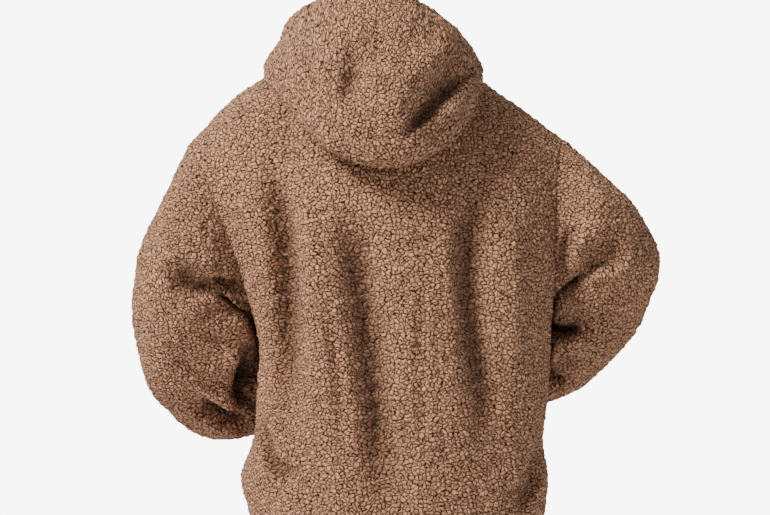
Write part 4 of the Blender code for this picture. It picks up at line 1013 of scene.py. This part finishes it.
def teeth(surfaces_of_tapes):
    """Both rows of teeth, which lock into each other below the slider and stand apart above it."""
    made = []
    for side, way, start in (("left", 1.0, 0.0), ("right", -1.0, TOOTH_PITCH / 2)):
        face, through = surfaces_of_tapes[side]
        length = arc_lengths(face, 0)[:, 0]
        index = np.arange(len(face))
        slider_at = np.interp(SLIDER_ROW, index, length)
        bm = bmesh.new()
        for at in np.arange(TEETH_ENDS[0] + start, length[-1] - TEETH_ENDS[1], TOOTH_PITCH):
            row = np.interp(at, length, index)
            rows = (row, max(row - AIM_ROWS, 0), min(row + AIM_ROWS, index[-1]))
            point, above, below = (curve(place, index, face[:, 0]) for place in rows)
            out = unit(curve(row, index, through[:, 0]))
            down = below - above
            down[0] = 0
            down = unit(down)
            across = unit(np.cross(down, out))
            across *= way * np.sign(across[0])
            part, lap = (TAPE_PART, TOOTH_LAP) if at > slider_at else (0.0, 0.0)
            tooth(bm, point - across * part, across, out, down, lap + part)
        bmesh.ops.recalc_face_normals(bm, faces=bm.faces)
        made.append(mesh_object("zip_teeth_" + side, bm))
    return made


# ------------------------------------------------------------------ materials
class Shader:
    """A material's node tree, with short calls to add and join nodes."""

    def __init__(self, name):
        self.material = bpy.data.materials.new(name)
        self.material.use_nodes = True
        self.tree = self.material.node_tree
        self.bsdf = self.tree.nodes["Principled BSDF"]

    def join(self, node, inputs):
        """Gives a node's sockets their values, or links other nodes' outputs to them."""
        for key, value in inputs.items():
            socket = node.inputs[key.replace("_", " ") if isinstance(key, str) else key]
            if isinstance(value, bpy.types.NodeSocket):
                self.tree.links.new(value, socket)
            else:
                socket.default_value = value

    def node(self, kind, settings=None, **inputs):
        made = self.tree.nodes.new("ShaderNode" + kind)
        for key, value in (settings or {}).items():
            setattr(made, key, value)
        self.join(made, inputs)
        return made

    def surface(self, **inputs):
        self.join(self.bsdf, inputs)

    def bump(self, height, strength, distance):
        made = self.node("Bump", Strength=strength, Distance=distance, Height=height)
        self.surface(Normal=made.outputs["Normal"])

    def place(self):
        return self.node("TexCoord").outputs["Object"]

    def ramp(self, value, stops):
        made = self.node("ValToRGB", Fac=value)
        while len(made.color_ramp.elements) < len(stops):
            made.color_ramp.elements.new(0.5)
        for element, (position, colour) in zip(made.color_ramp.elements, stops):
            element.position = position
            element.color = (*((colour,) * 3 if isinstance(colour, float) else colour), 1.0)
        return made.outputs["Color"]

    def math(self, operation, *values, kind="Math"):
        made = self.node(kind, {"operation": operation})
        self.join(made, dict(enumerate(values)))
        return made.outputs[0]

    def times(self, one, two):
        return self.math("MULTIPLY", one, two)

    def minus(self, one, two):
        return self.math("SUBTRACT", one, two)

    def plus(self, total, *others):
        for other in others:
            total = self.math("ADD", total, other)
        return total

    def tinted(self, colour, tint):
        made = self.node("Mix", {"data_type": "RGBA", "blend_type": "MULTIPLY"})
        self.join(made, {0: 1.0, 6: colour, 7: tint})
        return made.outputs[2]

    def range(self, value, low, high):
        """A value's place between two limits, from 0 to 1, with soft ends."""
        return self.node("MapRange", {"interpolation_type": "SMOOTHSTEP"}, Value=value, From_Min=low,
                         From_Max=high).outputs["Result"]

    def cells(self, feature, place, scale, dimensions="2D"):
        return self.node("TexVoronoi", {"feature": feature, "voronoi_dimensions": dimensions}, Vector=place,
                         Scale=scale).outputs["Distance"]

    def warped(self, place, scale, amount):
        """A place on the cloth shifted by noise of a scale, by an amount at most."""
        shift = self.node("TexNoise", {"noise_dimensions": "2D"}, Vector=place, Scale=scale,
                          Detail=1.0).outputs["Color"]
        return self.math("MULTIPLY_ADD", shift, (amount,) * 3, place, kind="VectorMath")

    def noise(self, scale, detail=2.0, roughness=0.5):
        return self.node("TexNoise", Vector=self.place(), Scale=scale, Detail=detail,
                         Roughness=roughness).outputs["Fac"]


def sherpa_material():
    """Curls of pile: round light tips with thin cracks between them, and finer ones within, darkened by
    painted shade; painted shade in the troughs of folds too.
    """
    s = Shader("sherpa pile")
    clump, height, trough_shade = (s.node("Attribute", {"attribute_name": name}).outputs["Fac"]
                             for name in ("clump", "pile", "trough_shade"))
    flat = s.node("UVMap", {"uv_map": "flat"}).outputs["UV"]
    place = s.warped(s.warped(flat, scale=62.0, amount=0.0080), scale=210.0, amount=0.0042)
    place = s.math("MULTIPLY", place, CURL_STRETCH, kind="VectorMath")
    edge, centre = (s.cells(feature, place, CURLS) for feature in ("DISTANCE_TO_EDGE", "F1"))
    small = s.cells("DISTANCE_TO_EDGE", s.warped(place, scale=420.0, amount=0.0024), SMALL_CURLS)
    fibre = s.noise(820.0, detail=4.0, roughness=0.70)
    crack = s.plus(s.times(s.range(edge, 0.0, 0.15), 0.78), s.times(s.range(edge, 0.03, 0.40), 0.22))
    fine = s.range(small, 0.0, 0.15)
    depth = s.plus(0.60, s.times(s.range(s.noise(150.0, detail=1.0), 0.36, 0.60), 0.42))
    fine_depth = s.times(s.range(s.noise(190.0, detail=1.0), 0.36, 0.60), 0.60)
    # painted shade in the cracks between curls and in the finer cracks
    crack_shade = s.math("MAXIMUM", s.times(s.minus(1.0, crack), depth), s.times(s.minus(1.0, fine), fine_depth))
    level = s.plus(s.minus(0.86, crack_shade), s.times(s.minus(fibre, 0.5), 0.26),
                   s.times(s.minus(height, 0.5), 0.06))
    colour = s.ramp(level, ((0.05, PILE_CRACK_SHADE), (0.38, PILE_CRACK_HALF_SHADE), (0.66, PILE_MID), (1.0, PILE_TIP)))
    patches = s.noise(12.0, detail=3.0, roughness=0.55)
    # random tone of each clump, painted shade in the troughs of folds and creases, and slow patches of tone
    for value, stops in ((clump, ((0.0, 0.97), (1.0, 1.03))),
                         (trough_shade, ((0.0, 1.0), (0.5, HOLLOW_SHADE), (1.0, TROUGH_SHADE_DARK))),
                         (patches, ((0.32, PATCH_DARK), (0.68, PATCH_LIGHT)))):
        colour = s.tinted(colour, s.ramp(value, stops))
    s.surface(Base_Color=colour, Roughness=0.95, Specular_IOR_Level=0.10, Sheen_Weight=0.22,
              Sheen_Roughness=0.45, Sheen_Tint=SHEEN_TINT)
    raised = s.plus(s.times(crack, 0.50), s.times(s.minus(0.8, centre), 0.45),
                    s.times(s.times(fine, fine_depth), 0.50), s.times(fibre, 0.42))
    s.bump(raised, strength=1.0, distance=0.0046)
    return s.material


def ground_material():
    """Brushed knit ground on the inside."""
    s = Shader("knit ground")
    loops, fuzz = s.cells("F1", s.place(), 520.0, "3D"), s.noise(700.0, detail=3.0, roughness=0.6)
    level = s.plus(s.times(loops, 0.6), s.times(fuzz, 0.5))
    s.surface(Base_Color=s.ramp(level, ((0.15, GROUND_LIGHT), (0.85, GROUND_DARK))), Roughness=0.95,
              Specular_IOR_Level=0.1, Sheen_Weight=0.3)
    s.bump(level, strength=0.5, distance=0.0007)
    return s.material


def tape_material():
    """Diagonal weave of a zip's tape."""
    s = Shader("zip tape weave")
    weave = s.node("TexWave", {"wave_type": "BANDS", "bands_direction": "DIAGONAL"}, Vector=s.place(),
                   Scale=420.0, Distortion=0.6, Detail=1.0).outputs["Fac"]
    s.surface(Base_Color=s.ramp(weave, ((0.2, TAPE_DARK), (0.8, TAPE_LIGHT))), Roughness=0.8)
    s.bump(weave, strength=0.4, distance=0.0003)
    return s.material


def metal_material():
    """Dull antique brass, rubbed lighter and smoother in patches."""
    s = Shader("antique brass")
    worn = s.noise(260.0, detail=4.0, roughness=0.6)
    s.surface(Base_Color=s.ramp(worn, ((0.3, METAL_DARK), (0.7, METAL_LIGHT))), Metallic=1.0,
              Roughness=s.ramp(worn, ((0.3, 0.55), (0.7, 0.36))))
    s.bump(s.noise(1500.0), strength=0.15, distance=0.0001)
    return s.material


# ------------------------------------------------------------------ stage, light and camera
def area_light(name, place, size, power, colour):
    data = bpy.data.lights.new(name, "AREA")
    data.shape, data.size, data.energy, data.color = "DISK", size, power, colour
    light = add_object(name, data)
    light.location = place
    light.rotation_euler = (Vector(LIGHTS_AIM) - Vector(place)).to_track_quat("-Z", "Y").to_euler()


def studio_world():
    """A pale studio, whiter behind the jacket as the photograph's camera sees it."""
    world = bpy.data.worlds.new("studio")
    world.use_nodes = True
    tree = world.node_tree
    place = tree.nodes.new("ShaderNodeTexCoord").outputs["Generated"]
    parts = tree.nodes.new("ShaderNodeSeparateXYZ")
    tree.links.new(place, parts.inputs[0])
    reach = tree.nodes.new("ShaderNodeMapRange")
    reach.interpolation_type = "SMOOTHSTEP"
    limits = zip(("From Min", "From Max", "To Min", "To Max"), (*WORLD_PATCH, WORLD_DIM, WORLD_WHITE))
    for socket, value in limits:
        reach.inputs[socket].default_value = value
    tree.links.new(parts.outputs["Y"], reach.inputs["Value"])
    tree.links.new(reach.outputs["Result"], tree.nodes["Background"].inputs["Strength"])
    tree.nodes["Background"].inputs["Color"].default_value = (1.0, 1.0, 1.0, 1.0)
    return world


def stage():
    """Pale round floor, soft lights, and the camera at the photograph's angle."""
    bm = bmesh.new()
    bmesh.ops.create_circle(bm, cap_ends=True, segments=96, radius=FLOOR_REACH)
    floor = mesh_object("floor", bm)
    floor.location.z = FLOOR_LEVEL
    s = Shader("pale floor")
    s.surface(Base_Color=FLOOR_COLOUR, Roughness=0.9)
    floor.data.materials.append(s.material)
    bpy.context.scene.world = studio_world()
    for name, light in LIGHTS.items():
        area_light(name, *light)
    data = bpy.data.cameras.new("camera")
    data.sensor_width = SENSOR
    data.lens = SENSOR * CAMERA_AWAY / (PHOTO_WIDTH * PIXEL)
    camera = add_object("camera", data)
    camera.location = (0, CAMERA_AWAY, CAMERA_LEVEL)
    camera.rotation_euler = (math.pi / 2, 0, math.pi)
    bpy.context.scene.camera = camera


grids, facing = cloth_pieces()
sherpa, ground, woven, metal = sherpa_material(), ground_material(), tape_material(), metal_material()
for name, grid in grids.items():
    cloth = shell(name, grid, facing[name])
    cloth.name = "cloth_" + name
    cloth.data.materials.append(sherpa)
    cloth.data.materials.append(ground)
    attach(cloth, "jacket")
    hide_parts(name)
tape_faces = {side: tape_surface(grids, facing, side) for side in ("left", "right")}
for side, (face, through) in tape_faces.items():
    tape = fine_tape(side, face, through)
    tape.name = "woven_tape_" + side
    tape.data.materials.append(woven)
    tape.data.materials.append(woven)
    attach(tape, "jacket")
    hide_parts("zip_tape_" + side)
for row in teeth(tape_faces):
    row.data.materials.append(metal)
    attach(row, "jacket")
for name in ("zip_slider", "zip_pull"):
    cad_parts[name].data.materials[0] = metal
stage()
